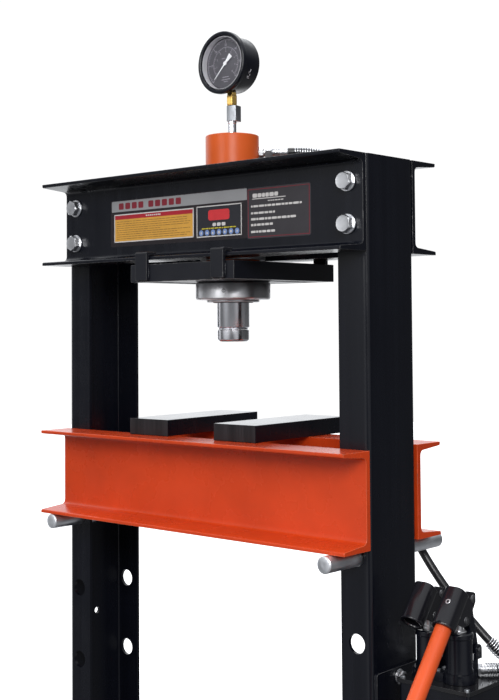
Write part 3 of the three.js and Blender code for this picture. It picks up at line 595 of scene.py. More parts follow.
# Edge colour lighter than the orange paint: a painted edge highlight, with real wear to bare metal in patches.
orange_edge = edge_wear("orange_paint_edge", (0.66, 0.085, 0.022), (0.30, 0.16, 0.12), 0.55, 0.28)
zinc = metal("zinc_plate", (0.84, 0.85, 0.88), 0.32, grain=260, grain_strength=0.10, mottled=0.10)
zinc_dull = metal("zinc_plate_dull", (0.42, 0.44, 0.47), 0.38, grain=200, mottled=0.12)
chrome = metal("hard_chrome", (0.80, 0.80, 0.84), 0.20, stretch=(1, 1, 14), grain=90, grain_strength=0.05)
pin_chrome = metal("pin_chrome", (0.84, 0.86, 0.90), 0.40, stretch=(1, 12, 1), grain=110, grain_strength=0.08)
turned_steel = metal("turned_steel", (0.66, 0.66, 0.68), 0.36, stretch=(1, 1, 40), grain=60, grain_strength=0.12)
dark_steel = metal("dark_steel", (0.20, 0.20, 0.21), 0.35, grain=140)
spring_steel = metal("spring_steel", (0.60, 0.61, 0.64), 0.18, grain=300)
brass = metal("brass", (0.72, 0.47, 0.14), 0.24, grain=180, mottled=0.10)
bronze = metal("bronze", (0.45, 0.27, 0.11), 0.38, grain=150)
case_black = paint("gauge_case_black", (0.0045, 0.0055, 0.0100), 0.20, dust=0.02, peel=0.10)
ring_white = plain("gauge_ring_white", (0.52, 0.51, 0.54), 0.45)
dial_grey = plain("dial_grey", (0.078, 0.076, 0.088), 0.62, grain=900)
pale_case_marks = plain("pale_case_marks", (0.62, 0.61, 0.64), 0.5)
print_blue = plain("print_blue", (0.16, 0.24, 0.48), 0.45)
print_yellow = plain("print_yellow", (0.50, 0.42, 0.02), 0.45)
needle_white = plain("needle_white", (0.80, 0.80, 0.82), 0.45)
rubber = plain("hose_rubber", (0.010, 0.010, 0.012), 0.34, ior=1.5, grain=700, strength=0.25)
seal_rubber = plain("seal_rubber", (0.012, 0.012, 0.012), 0.55)
knob_black = plain("knob_black", (0.008, 0.008, 0.009), 0.30)
lens = glass("gauge_glass")

# ---------------------------------------------------------------- hose

HOSE_ROUTE = [
    (96.95, 64.03, 1580), (108.8, 73.3, 1580), (128, 91, 1578.5), (145, 113, 1572), (155, 139, 1557),
    (159, 163, 1532), (159, 183, 1495), (156, 197, 1450), (154, 205, 1402), (155, 209, 1353), (159, 210, 1305),
    (167, 208, 1256), (178, 203, 1208), (191, 198, 1163), (204, 194, 1118), (218, 187, 1074), (233, 179, 1029),
    (250, 172, 986), (269, 164, 943), (291, 160, 902), (316, 160, 862), (342, 165, 823), (366, 174, 788),
    (389, 186, 756), (410, 194, 731), (428, 198.5, 713), (445, 200, 698.5), (462, 200.5, 689),
    (480, 200.5, 683.3), (496, 200, 682.5), (519.7, 195.3, 684.3), (539.8, 181.8, 688), (553.3, 161.7, 693),
    (558, 138, 698.5), (553.3, 114.3, 703.8), (539.8, 94, 707.3), (528.5, 82.5, 708), (517, 71, 708),
]
HOSE_RADIUS = 7.5
GUARD_STEP = 2


def build_hose():
    line = resampled(spline(HOSE_ROUTE), 5)
    hose = finish_mesh("hose", tube(bmesh.new(), line, HOSE_RADIUS, 20), rubber, None, ["hydraulic_hose"],
                       angle=math.radians(60))
    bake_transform(hose)

    fine = resampled(spline(HOSE_ROUTE), GUARD_STEP)
    upper_end = [p for p in fine if p.y < 150 and p.z > 1500]
    upper = finish_mesh("hose_guard_upper", coil_around(bmesh.new(), upper_end[6:], 9.0, 1.1, 4.4), spring_steel,
                        None, angle=math.radians(60))
    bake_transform(upper)
    # The lower guard is wide where it hangs free and narrow where it lies over the tank's cover.
    lower_end = [p for p in fine if p.z < 712]
    over_cover = [p for p in lower_end if p.y < 126 and p.x < 560]
    free = lower_end[:len(lower_end) - len(over_cover) + 2]
    coils = coil_around(bmesh.new(), free, 10.4, 1.3, 4.7)
    over_sleeve = [OUTLET_FRAME @ Vector((OUTLET_LENGTH - GUARD_STEP * k, 0, 0)) for k in range(1, 10)]
    coil_around(coils, over_cover + over_sleeve, 8.95, 0.95, 4.2)
    lower = finish_mesh("hose_guard_lower", coils, spring_steel, "frame",
                        angle=math.radians(60))


build_hose()

# ---------------------------------------------------------------- frame


def bend_arc(cx, cy, radius, start, end, steps=8):
    points = []
    for i in range(steps + 1):
        angle = math.radians(start + (end - start) * i / steps)
        points.append((cx + radius * math.cos(angle), cy + radius * math.sin(angle)))
    return points


def upright_outline():
    half = UPRIGHT_DEPTH / 2
    tip = UPRIGHT_OUTER_X - UPRIGHT_FLANGE
    cx, cy = UPRIGHT_OUTER_X - UPRIGHT_BEND, half - UPRIGHT_BEND
    inner = UPRIGHT_BEND - UPRIGHT_THICK
    return (
        [(tip, -half)] + bend_arc(cx, -cy, UPRIGHT_BEND, -90, 0) + bend_arc(cx, cy, UPRIGHT_BEND, 0, 90)
        + [(tip, half), (tip, half - UPRIGHT_THICK)] + bend_arc(cx, cy, inner, 90, 0)
        + bend_arc(cx, -cy, inner, 0, -90) + [(tip, UPRIGHT_THICK - half)]
    )


def upright(name, side):
    bm = prism(bmesh.new(), upright_outline(), "z", FOOT_HEIGHT + GAP, HEAD_TOP)
    cutters = []
    for row in range(HOLE_ROWS):
        cutters.append(rod_cutter("y", HOLE_RADIUS, -90, 90, (HOLE_X, 0, HOLE_TOP_Z - row * HOLE_PITCH)))
    for z in BRACKET_BOLT_LEVELS:
        cutters.append(rod_cutter("x", 6.3, 350, 385, (0, 0, z), 24))
    bm = subtracted(bm, cutters)
    if side < 0:
        bm.transform(Matrix.Rotation(math.pi, 4, "Z"))
    finish_mesh(name, bm, black_paint, "frame", [name], bevel=0.7, edge_material=black_edge)


def channel_outline(flange, web, tip=6.4, taper=0.085, fillet=9, nose=3, steps=6):
    """Hot rolled channel in (out, up): out from the back of the web."""
    height = CHANNEL_HEIGHT

    def inner(u):
        return tip + (flange - u) * taper

    def curve(a, b, c):
        return [
            tuple((1 - t) ** 2 * p + 2 * t * (1 - t) * q + t * t * r for p, q, r in zip(a, b, c))
            for t in (i / steps for i in range(steps + 1))
        ]

    low = curve((flange, tip - nose), (flange, tip), (flange - nose, inner(flange - nose)))
    low += curve((web + fillet, inner(web + fillet)), (web, inner(web)), (web, inner(web) + fillet))
    high = [(u, height - v) for u, v in reversed(low)]
    return [(0, 0), (flange, 0)] + low + high + [(flange, height), (0, height)]


def channel(name, half_length, flange, web, back, bottom, side, material, edge, body, holes=()):
    outline = [(side * (back + u), bottom + v) for u, v in channel_outline(flange, web)]
    bm = prism(bmesh.new(), outline, "x", -half_length, half_length)
    if holes:
        low, high = sorted((side * (back - 10), side * (back + 20)))
        bm = subtracted(bm, [rod_cutter("y", 9.4, low, high, (x, 0, z), 24) for x, z in holes])
    finish_mesh(name, bm, material, body, [name], bevel=0.8, edge_material=edge)


def hex_bolt(bm, origin, basis, flats, height, washer_radius=0.0, washer=0.0, dish=True):
    """Washer, then a hexagon head with a chamfered top, standing out along basis[0]."""
    along, u, v = basis
    if washer:
        lathe(bm, [(0, 0), (washer_radius - 0.6, 0), (washer_radius, 0.6), (washer_radius, washer - 0.6),
                   (washer_radius - 0.6, washer), (0, washer)], origin, sides=48, basis=basis)
    origin = Vector(origin) + along * washer
    radius = flats / math.sqrt(3)
    chamfer = (radius - flats / 2 + 0.25) * 0.6
    rings = []
    for height_now, inset in ((0.05, 0.0), (height - chamfer, 0.0), (height, flats / 2 - 0.3)):
        ring = []
        for i in range(48):
            angle = 2 * math.pi * i / 48
            local = (angle + math.pi / 6) % (math.pi / 3) - math.pi / 6
            reach = flats / 2 / math.cos(local)
            r = reach if not inset else min(reach, inset)
            drop = 0.0
            if height_now == height - chamfer:
                drop = (reach - flats / 2) / (radius - flats / 2) * chamfer * 0.9 - chamfer * 0.1
            out = (u * math.cos(angle) + v * math.sin(angle)) * r
            ring.append(bm.verts.new(origin + along * (height_now - max(drop, 0)) + out))
        rings.append(ring)
    grid_faces(bm, rings)
    bm.faces.new(list(reversed(rings[0])))
    if dish:
        inner = ring_of(bm, origin + along * (height - 0.25), u, v, flats / 2 * 0.82, 48)
        grid_faces(bm, [rings[-1], inner])
        bm.faces.new(inner)
    else:
        bm.faces.new(rings[-1])
    return bm


def threaded_end(bm, origin, basis, radius, length, pitch=1.75):
    """Bolt end with thread rings and a chamfer."""
    profile = [(0, 0), (radius, 0)]
    height = 0.6
    while height < length - 1.5 * pitch:
        profile += [(radius, height), (radius - 0.8, height + pitch / 2)]
        height += pitch
    profile += [(radius - 0.3, length - 1.4), (radius - 1.6, length), (0, length)]
    return lathe(bm, profile, origin, sides=32, basis=basis)


FRONT = (Vector((0, -1, 0)), Vector((1, 0, 0)), Vector((0, 0, 1)))
REAR = (Vector((0, 1, 0)), Vector((-1, 0, 0)), Vector((0, 0, 1)))
RIGHT = (Vector((1, 0, 0)), Vector((0, 1, 0)), Vector((0, 0, 1)))
LEFT = (Vector((-1, 0, 0)), Vector((0, -1, 0)), Vector((0, 0, 1)))
UP = (Vector((0, 0, 1)), Vector((1, 0, 0)), Vector((0, 1, 0)))


def turned_basis(basis, degrees):
    along, u, v = basis
    turn = Matrix.Rotation(math.radians(degrees), 3, along)
    return along, turn @ u, turn @ v


def build_head():
    upright("right_upright", 1)
    upright("left_upright", -1)
    back = UPRIGHT_DEPTH / 2 + GAP
    holes = [(side * HEAD_BOLT_X, z) for side in (-1, 1) for z in HEAD_BOLT_LEVELS]
    for name, side in (("rear_head_channel", 1), ("front_head_channel", -1)):
        channel(name, HEAD_HALF, HEAD_FLANGE, HEAD_WEB, back, HEAD_BOTTOM, side, black_paint, black_edge, "frame",
                holes)
    face = back + HEAD_WEB + GAP
    turns = {("left", "lower"): 8, ("left", "upper"): 20, ("right", "lower"): 3, ("right", "upper"): 14}
    for side, x in (("left", -HEAD_BOLT_X), ("right", HEAD_BOLT_X)):
        for level, z in zip(("lower", "upper"), HEAD_BOLT_LEVELS):
            name = f"head_bolt_{side}_{level}"
            bm = bmesh.new()
            turn = turns[side, level]
            hex_bolt(bm, (x, -face, z), turned_basis(FRONT, turn), 27, 12, 17, 3)
            hex_bolt(bm, (x, face, z), turned_basis(REAR, turn * 2), 27, 15, 17, 3)
            threaded_end(bm, (x, face + 17, z), REAR, 9, 7)
            lathe(bm, [(0, -face - 1), (9, -face - 1), (9, face + 1), (0, face + 1)], (x, 0, z), "y", 32)
            finish_mesh(name, bm, zinc, "frame", [name], bevel=0.25, segments=1)


build_head()

# ---------------------------------------------------------------- label plates on the head

LABEL_FACE = -(UPRIGHT_DEPTH / 2 + GAP + HEAD_WEB)


def panel(bm, x0, x1, z0, z1, proud, corner=1.5, thick=0.3):
    """Thin plate with rounded corners standing a little proud of the head's web."""
    outline = [(x + (x0 + x1) / 2, z + (z0 + z1) / 2) for x, z in rounded(x1 - x0, z1 - z0, corner, 4)]
    return prism(bm, outline, "y", LABEL_FACE - proud, LABEL_FACE - proud + thick,
                 basis=(Vector((0, 1, 0)), Vector((1, 0, 0)), Vector((0, 0, 1))))


def border(bm, x0, x1, z0, z1, width, proud):
    panel(bm, x0, x1, z1 - width, z1, proud, width * 0.4)
    panel(bm, x0, x1, z0, z0 + width, proud, width * 0.4)
    panel(bm, x0, x0 + width, z0 + width / 2, z1 - width / 2, proud, width * 0.4)
    panel(bm, x1 - width, x1, z0 + width / 2, z1 - width / 2, proud, width * 0.4)
    return bm


def dashes(bm, x0, x1, z, height, proud, rng, low=3.0, high=9.0, gap=1.6):
    """A row of short bars, where a label would carry a line of small print."""
    x = x0
    while x < x1 - low:
        width = min(rng.uniform(low, high), x1 - x)
        panel(bm, x, x + width, z - height / 2, z + height / 2, proud, height * 0.3)
        x += width + gap
    return bm


def label_metal(name, color, roughness, metallic=0.6):
    n = Nodes(name)
    n.link(n.mixed(n.ramp(n.noise(5, 3), 0.35, 0.65), color, tuple(c * 1.25 for c in color)),
           n.shader.inputs["Base Color"])
    n.link(n.ramp(n.noise(90, 3, 0.6, (30, 1, 1)), 0.3, 0.7, roughness * 0.85, roughness * 1.2),
           n.shader.inputs["Roughness"])
    n.set(Metallic=metallic)
    n.bump(n.noise(700, 2), 0.1, 0.0001)
    return n.material


def build_labels():
    rng = random.Random(4)
    foil = label_metal("label_foil", (0.040, 0.034, 0.038), 0.34, 0.75)
    silver = label_metal("label_silver", (0.30, 0.30, 0.31), 0.40, 0.5)
    yellow = plain("label_yellow", (0.60, 0.31, 0.045), 0.42)
    ink = plain("label_ink", (0.16, 0.085, 0.02), 0.5)
    dark = plain("label_dark", (0.016, 0.016, 0.022), 0.38)
    grey = plain("label_grey", (0.032, 0.029, 0.034), 0.40)
    bright = plain("label_white", (0.55, 0.53, 0.52), 0.45)
    red = plain("label_red", (0.36, 0.010, 0.022), 0.42)
    deep_red = plain("label_deep_red", (0.20, 0.012, 0.025), 0.42)

    def place(name, bm, material):
        finish_mesh(name, bm, material, "frame", angle=math.radians(30))

    place("label_base", panel(bmesh.new(), -236, 117.5, 1413, 1502, 0.20, 2), foil)
    place("label_bar", panel(bmesh.new(), -233, 117.5, 1480, 1500.5, 0.35, 1), silver)
    bm = bmesh.new()
    for i in range(9):
        x = -213 + i * 18.2 + (9 if i > 3 else 0)
        panel(bm, x, x + 13.5, 1484.2, 1496.4, 0.50, 2.2)
    place("label_bar_blocks", bm, deep_red)

    place("label_yellow_panel", panel(bmesh.new(), -224, -14.5, 1423, 1466, 0.35, 1), yellow)
    place("label_red_strip", panel(bmesh.new(), -224, -14.5, 1465, 1473, 0.40, 1), red)
    place("label_yellow_border", border(bmesh.new(), -226, -12.5, 1421, 1475, 2.2, 0.50), bright)
    place("label_strip_dashes", dashes(bmesh.new(), -138, -94, 1469, 2.6, 0.55, rng, 3, 7), bright)
    bm = bmesh.new()
    z = 1460.5
    while z > 1427:
        dashes(bm, -219, rng.choice((-30, -55, -100, -21, -21)), z, 0.9, 0.45, rng, 4, 16, 1.8)
        z -= 4.1
    place("label_yellow_lines", bm, ink)

    place("label_dark_panel", panel(bmesh.new(), -3.5, 103.5, 1421, 1474.5, 0.35, 3), dark)
    place("label_dark_border", border(bmesh.new(), -5, 105, 1419.5, 1476, 1.8, 0.50), bright)
    bm = bmesh.new()
    panel(bm, 24, 76, 1449, 1468, 0.50, 5)
    place("label_red_mark", bm, plain("label_bright_red", (0.55, 0.028, 0.035), 0.42))
    bm = bmesh.new()
    for x, width in ((35, 8), (45.5, 9), (57, 9)):
        panel(bm, x, x + width, 1438.5, 1444.5, 0.50, 1.6)
    place("label_white_blocks", bm, bright)
    place("label_yellow_dashes", dashes(bmesh.new(), 8, 95, 1435.0, 2.0, 0.50, rng, 3, 8, 1.4), print_yellow)
    discs, hubs = bmesh.new(), bmesh.new()
    for i in range(7):
        x = 6.5 + i * 14.6
        lathe(discs, [(0, 0), (5.3, 0), (5.3, 0.3), (0, 0.3)], (x, LABEL_FACE - 0.2, 1427.3), sides=32, basis=FRONT)
        panel(hubs, x - rng.uniform(1.2, 2.4), x + rng.uniform(1.2, 2.6), 1427.3 - rng.uniform(1.4, 2.8),
              1427.3 + rng.uniform(1.0, 2.8), 0.65, 0.9)
    place("label_discs", discs, print_blue)
    place("label_disc_marks", hubs, bright)

    place("label_right", panel(bmesh.new(), 117.8, 261, 1411, 1500, 0.20, 4), grey)
    place("label_right_border", border(bmesh.new(), 120, 258.5, 1413.5, 1497.5, 1.1, 0.40), deep_red)
    bm = bmesh.new()
    dashes(bm, 131, 190, 1486.0, 7.0, 0.45, rng, 6, 11, 1.2)
    panel(bm, 130, 206, 1479.6, 1481.0, 0.45, 0.5)
    for z, end, height in ((1467.5, 246, 3.6), (1455.5, 182, 3.6), (1445.0, 233, 4.0), (1435.0, 177, 4.0),
                           (1423.0, 182, 4.0)):
        dashes(bm, 127, end, z, height, 0.45, rng, 4, 13, 1.5)
    dashes(bm, 166, 205, 1475.5, 1.8, 0.45, rng, 3, 7, 1.2)
    place("label_right_lines", bm, bright)


build_labels()

# ---------------------------------------------------------------- ram carriage

def build_carriage():
    low, high = CARRIAGE_BOTTOM, CARRIAGE_TOP
    inner_x, inner_y = CARRIAGE_HALF_X - SIDE_BAR, CARRIAGE_HALF_Y - END_BAR
    plate = box(bmesh.new(), RAM_X - 75, RAM_X + 75, 0.5 - inner_y, inner_y - 0.5, low + 0.2, high - 10)
    plate = subtracted(plate, [rod_cutter("z", CYLINDER_RADIUS + 0.4, low - 5, high + 18, (RAM_X, 0, 0), 96)])
    finish_mesh("carriage_plate", plate, black_matt, "carriage", bevel=1.0,
                edge_material=black_edge)
    bars, hooks, beads = bmesh.new(), bmesh.new(), bmesh.new()
    lip = HEAD_BOTTOM + 8.6
    # Hook's outline: distance out from the end bar's face, height.
    hook = [(0.1, low + 3), (7, low + 3), (7, lip + 3.5), (4.5, lip + 6), (-18, lip + 6), (-18, lip), (0.1, lip)]
    seed = 10
    for side in (-1, 1):
        x0, x1 = sorted((side * CARRIAGE_HALF_X, side * inner_x))
        box(bars, RAM_X + x0, RAM_X + x1, -CARRIAGE_HALF_Y, CARRIAGE_HALF_Y, low, high)
        y0, y1 = sorted((side * CARRIAGE_HALF_Y, side * inner_y))
        box(bars, RAM_X - inner_x + 0.1, RAM_X + inner_x - 0.1, y0, y1, low, high)
        for x in (RAM_X - HOOK_X, RAM_X + HOOK_X):
            prism(hooks, [(side * (CARRIAGE_HALF_Y + out), z) for out, z in hook], "x", x - 15, x + 15)
            seed += 1
            y = side * (CARRIAGE_HALF_Y + 3)
            weld_bead(beads, (x - 14, y, low + 2.6), (x + 14, y, low + 2.6), 2.4, 4.2, seed)
            y = side * (CARRIAGE_HALF_Y + 1)
            for edge in (-15, 15):
                seed += 1
                weld_bead(beads, (x + edge, y, low + 5), (x + edge, y, high - 4), 1.8, 3.6, seed)
        for end in (-1, 1):
            seed += 1
            x, y = RAM_X + side * inner_x, end * (inner_y - 1)
            weld_bead(beads, (x, y, low + 3), (x, y, high - 3), 2.6, 4.0, seed)
    finish_mesh("carriage_bars", bars, black_matt, "carriage", ["ram_carriage"], bevel=1.2,
                edge_material=black_edge)
    finish_mesh("carriage_hooks", hooks, black_matt, "carriage", bevel=0.9,
                edge_material=black_edge)
    finish_mesh("carriage_welds", beads, black_paint, "carriage", angle=math.radians(50))


build_carriage()

# ---------------------------------------------------------------- cylinder and rod


def knurl_marks(bm, centre, radius, z0, z1, angles):
    """Shallow round spanner holes' rims on a ring's outside."""
    for angle in angles:
        a = math.radians(angle)
        out = Vector((math.cos(a), math.sin(a), 0))
        basis = (out, Vector((-out.y, out.x, 0)), Vector((0, 0, 1)))
        origin = Vector((centre, 0, (z0 + z1) / 2)) + out * (radius - 1.2)
        lathe(bm, [(0, 0), (3.6, 0), (3.6, 1.25), (2.9, 1.45), (2.2, 1.25), (2.2, 0.5), (0, 0.5)], origin, sides=32,
              basis=basis)
    return bm


def build_ram():
    def turned(name, profile, material, nodes, slot, body="carriage", closed=True, sides=96):
        bm = lathe(bmesh.new(), profile, (RAM_X, 0, 0), sides=sides, closed=closed)
        finish_mesh(name, bm, material, body, nodes)

    r, bore, low, lip, top = CYLINDER_RADIUS, BORE_RADIUS, CYLINDER_BOTTOM, 1307.2, CYLINDER_TOP
    turned("ram_cylinder_body", [
        (bore, lip + 0.1), (r - 0.9, lip + 0.1), (r, lip + 0.8), (r, top - 2.7), (r - 0.4, top - 1.1),
        (r - 1.6, top - 0.2), (r - 3, top), (8.8, top), (8.8, top - 2), (5.4, top - 2), (5.4, BORE_TOP),
        (bore, BORE_TOP),
    ], cylinder_paint, ["ram_cylinder"], "bed_paint", sides=128)
    turned("ram_cylinder_lip", [(bore, low), (r - 1.8, low), (r - 1, low + 0.8), (r - 1, lip), (bore, lip)],
           turned_steel, (), "steel", sides=128)

    outer, low, high = RING_RADIUS, RING_BOTTOM, CARRIAGE_BOTTOM - GAP
    turned("ring_nut_body", [
        (r + GAP, low), (outer - 3, low), (outer - 1.4, low + 0.7), (outer, low + 2.8), (outer, high - 3.5),
        (outer - 0.8, high - 1.5), (outer - 2.6, high), (r + GAP, high),
    ], turned_steel, ["ring_nut"], "steel", sides=128)
    finish_mesh("ring_nut_marks", knurl_marks(bmesh.new(), RAM_X, outer, 1315, 1331, (-62, 28, 118, 208)),
                dark_steel, "carriage")
    low = HEAD_BOTTOM
    turned("lock_ring_body", [
        (r + GAP, low), (59, low), (60, low + 1), (60, low + 11), (59, low + 12), (r + GAP, low + 12),
    ], turned_steel, ["lock_ring"], "steel")
    rod, piston, low = ROD_RADIUS, BORE_RADIUS - GAP, CYLINDER_BOTTOM
    turned("rod_guide_body", [
        (rod + GAP, low + 1), (piston - 0.8, low + 1), (piston, low + 1.8), (piston, GLAND_TOP),
        (rod + GAP, GLAND_TOP),
    ], bronze, ["rod_guide"], "bronze")
    turned("rod_wiper", [
        (rod + 0.35, low - 1.1), (36.5, low - 1.1), (37.0, low - 0.4), (37.0, low + 0.9), (rod + 0.35, low + 0.9),
    ], seal_rubber, (), "seal_rubber")

    top, low, groove = NOSE_TOP, PISTON_BOTTOM, 33
    turned("ram_rod_body", [
        (8.4, top + 0.3), (rod - 3.4, top + 0.3), (rod - 3, top + 0.7), (rod - 3, top + 2.6), (rod - 0.6, top + 4.4),
        (rod, top + 5.4), (rod, low - 0.6), (rod + 0.6, low), (piston - 0.8, low), (piston, low + 0.8),
        (piston, low + 8), (groove, low + 8), (groove, low + 16), (piston, low + 16), (piston, PISTON_TOP - 0.8),
        (piston - 0.8, PISTON_TOP), (14, PISTON_TOP), (14, NOSE_BOTTOM + 66), (8.4, NOSE_BOTTOM + 61),
    ], chrome, ["ram_rod"], "chrome", "ram", sides=128)
    r, low = NOSE_RADIUS, NOSE_BOTTOM
    turned("rod_nose_body", [
        (0, low), (3.2, low), (3.6, low + 0.4), (r - 4.8, low + 0.4), (r - 3.5, low), (r - 2.4, low + 0.6),
        (r - 0.4, low + 3.2), (r, low + 4.4), (r, top - 1.0), (r - 0.8, top), (8, top), (8, top + 22), (0, top + 22),
    ], chrome, ["rod_nose"], "chrome", "ram", closed=False, sides=128)
    low = PISTON_BOTTOM + 8
    turned("piston_seal_body", [
        (33.3, low + 0.4), (36.6, low + 0.4), (37.1, low + 1.2), (36.4, low + 4), (37.1, low + 6.8),
        (36.6, low + 7.6), (33.3, low + 7.6),
    ], seal_rubber, ["piston_seal"], "seal_rubber", "ram")

    # Straight fitting: nipple, swivel nut and the crimped sleeve that holds the hose.
    bm = bmesh.new()
    lathe(bm, [(0, 42), (5.5, 42), (5.5, 58), (0, 58)], (0, 0, 0), "x", 32)
    hex_bolt(bm, (CYLINDER_RADIUS + GAP, 0, 0), turned_basis(RIGHT, 8), 19, 9, dish=False)
    lathe(bm, [(0, 58), (8.2, 58), (8.2, 62), (0, 62)], (0, 0, 0), "x", 48)
    hex_bolt(bm, (61, 0, 0), turned_basis(RIGHT, 21), 22.4, 13.6, dish=False)
    crimps = [(r, start + d) for start in (76, 86) for r, d in ((9.4, 0), (10, 1), (10, 7), (9.4, 8))]
    lathe(bm, [(0, 74), (9.4, 74)] + crimps + [(9.4, 96), (10, 97), (10, 101.6), (9.2, 103.2), (8, 103.6), (0, 103.6)],
          (0, 0, 0), "x", 64)
    bm.transform(PORT_FRAME)
    finish_mesh("ram_fitting_body", bm, zinc, "carriage", ["ram_fitting"], bevel=0.4)


build_ram()

# ---------------------------------------------------------------- gauge

DIAL_FACE = 16.2
SWEEP_START, SWEEP = 225, 270


def dial_point(radius, share, forward):
    """A point on the dial: share runs from 0 at the start of the scale to 1 at its end, clockwise."""
    angle = math.radians(SWEEP_START - SWEEP * share)
    return Vector((RAM_X + radius * math.cos(angle), -forward, GAUGE_Z + radius * math.sin(angle)))


def dial_bar(bm, share, inner, outer, width, forward=DIAL_FACE, thick=0.15):
    a, b = dial_point(inner, share, forward), dial_point(outer, share, forward)
    along = (b - a).normalized()
    side = along.cross(Vector((0, 1, 0))) * width / 2
    corners = [a - side, a + side, b + side, b - side]
    front = [bm.verts.new(c - Vector((0, thick, 0))) for c in corners]
    back = [bm.verts.new(c) for c in corners]
    bm.faces.new(front)
    bm.faces.new(list(reversed(back)))
    grid_faces(bm, [front, back])


def dial_arc(bm, inner, outer, start, end, forward=DIAL_FACE, thick=0.15, steps=90):
    count = max(3, round(steps * (end - start)))
    rings = []
    for i in range(count + 1):
        share = start + (end - start) * i / count
        rings.append([
            bm.verts.new(dial_point(inner, share, forward)), bm.verts.new(dial_point(outer, share, forward)),
            bm.verts.new(dial_point(outer, share, forward + thick)),
            bm.verts.new(dial_point(inner, share, forward + thick)),
        ])
    grid_faces(bm, rings)
    bm.faces.new(list(reversed(rings[0])))
    bm.faces.new(rings[-1])


def dial_number(bm, text, radius, share, height):
    """A number on the dial, from Blender's own font."""
    curve = bpy.data.curves.new("number", "FONT")
    curve.body = text
    curve.align_x = "CENTER"
    curve.align_y = "CENTER"
    curve.size = height
    curve.extrude = 0.06
    thing = bpy.data.objects.new("number", curve)
    bpy.context.scene.collection.objects.link(thing)
    bpy.context.view_layer.update()
    mesh = bpy.data.meshes.new_from_object(thing.evaluated_get(bpy.context.evaluated_depsgraph_get()))
    part = bmesh.new()
    part.from_mesh(mesh)
    stand = Matrix.Translation(dial_point(radius, share, DIAL_FACE + 0.1)) @ Matrix.Rotation(math.pi / 2, 4, "X")
    part.transform(stand)
    part.to_mesh(mesh)
    part.free()
    bm.from_mesh(mesh)
    bpy.data.objects.remove(thing)
    bpy.data.curves.remove(curve)
    bpy.data.meshes.remove(mesh)


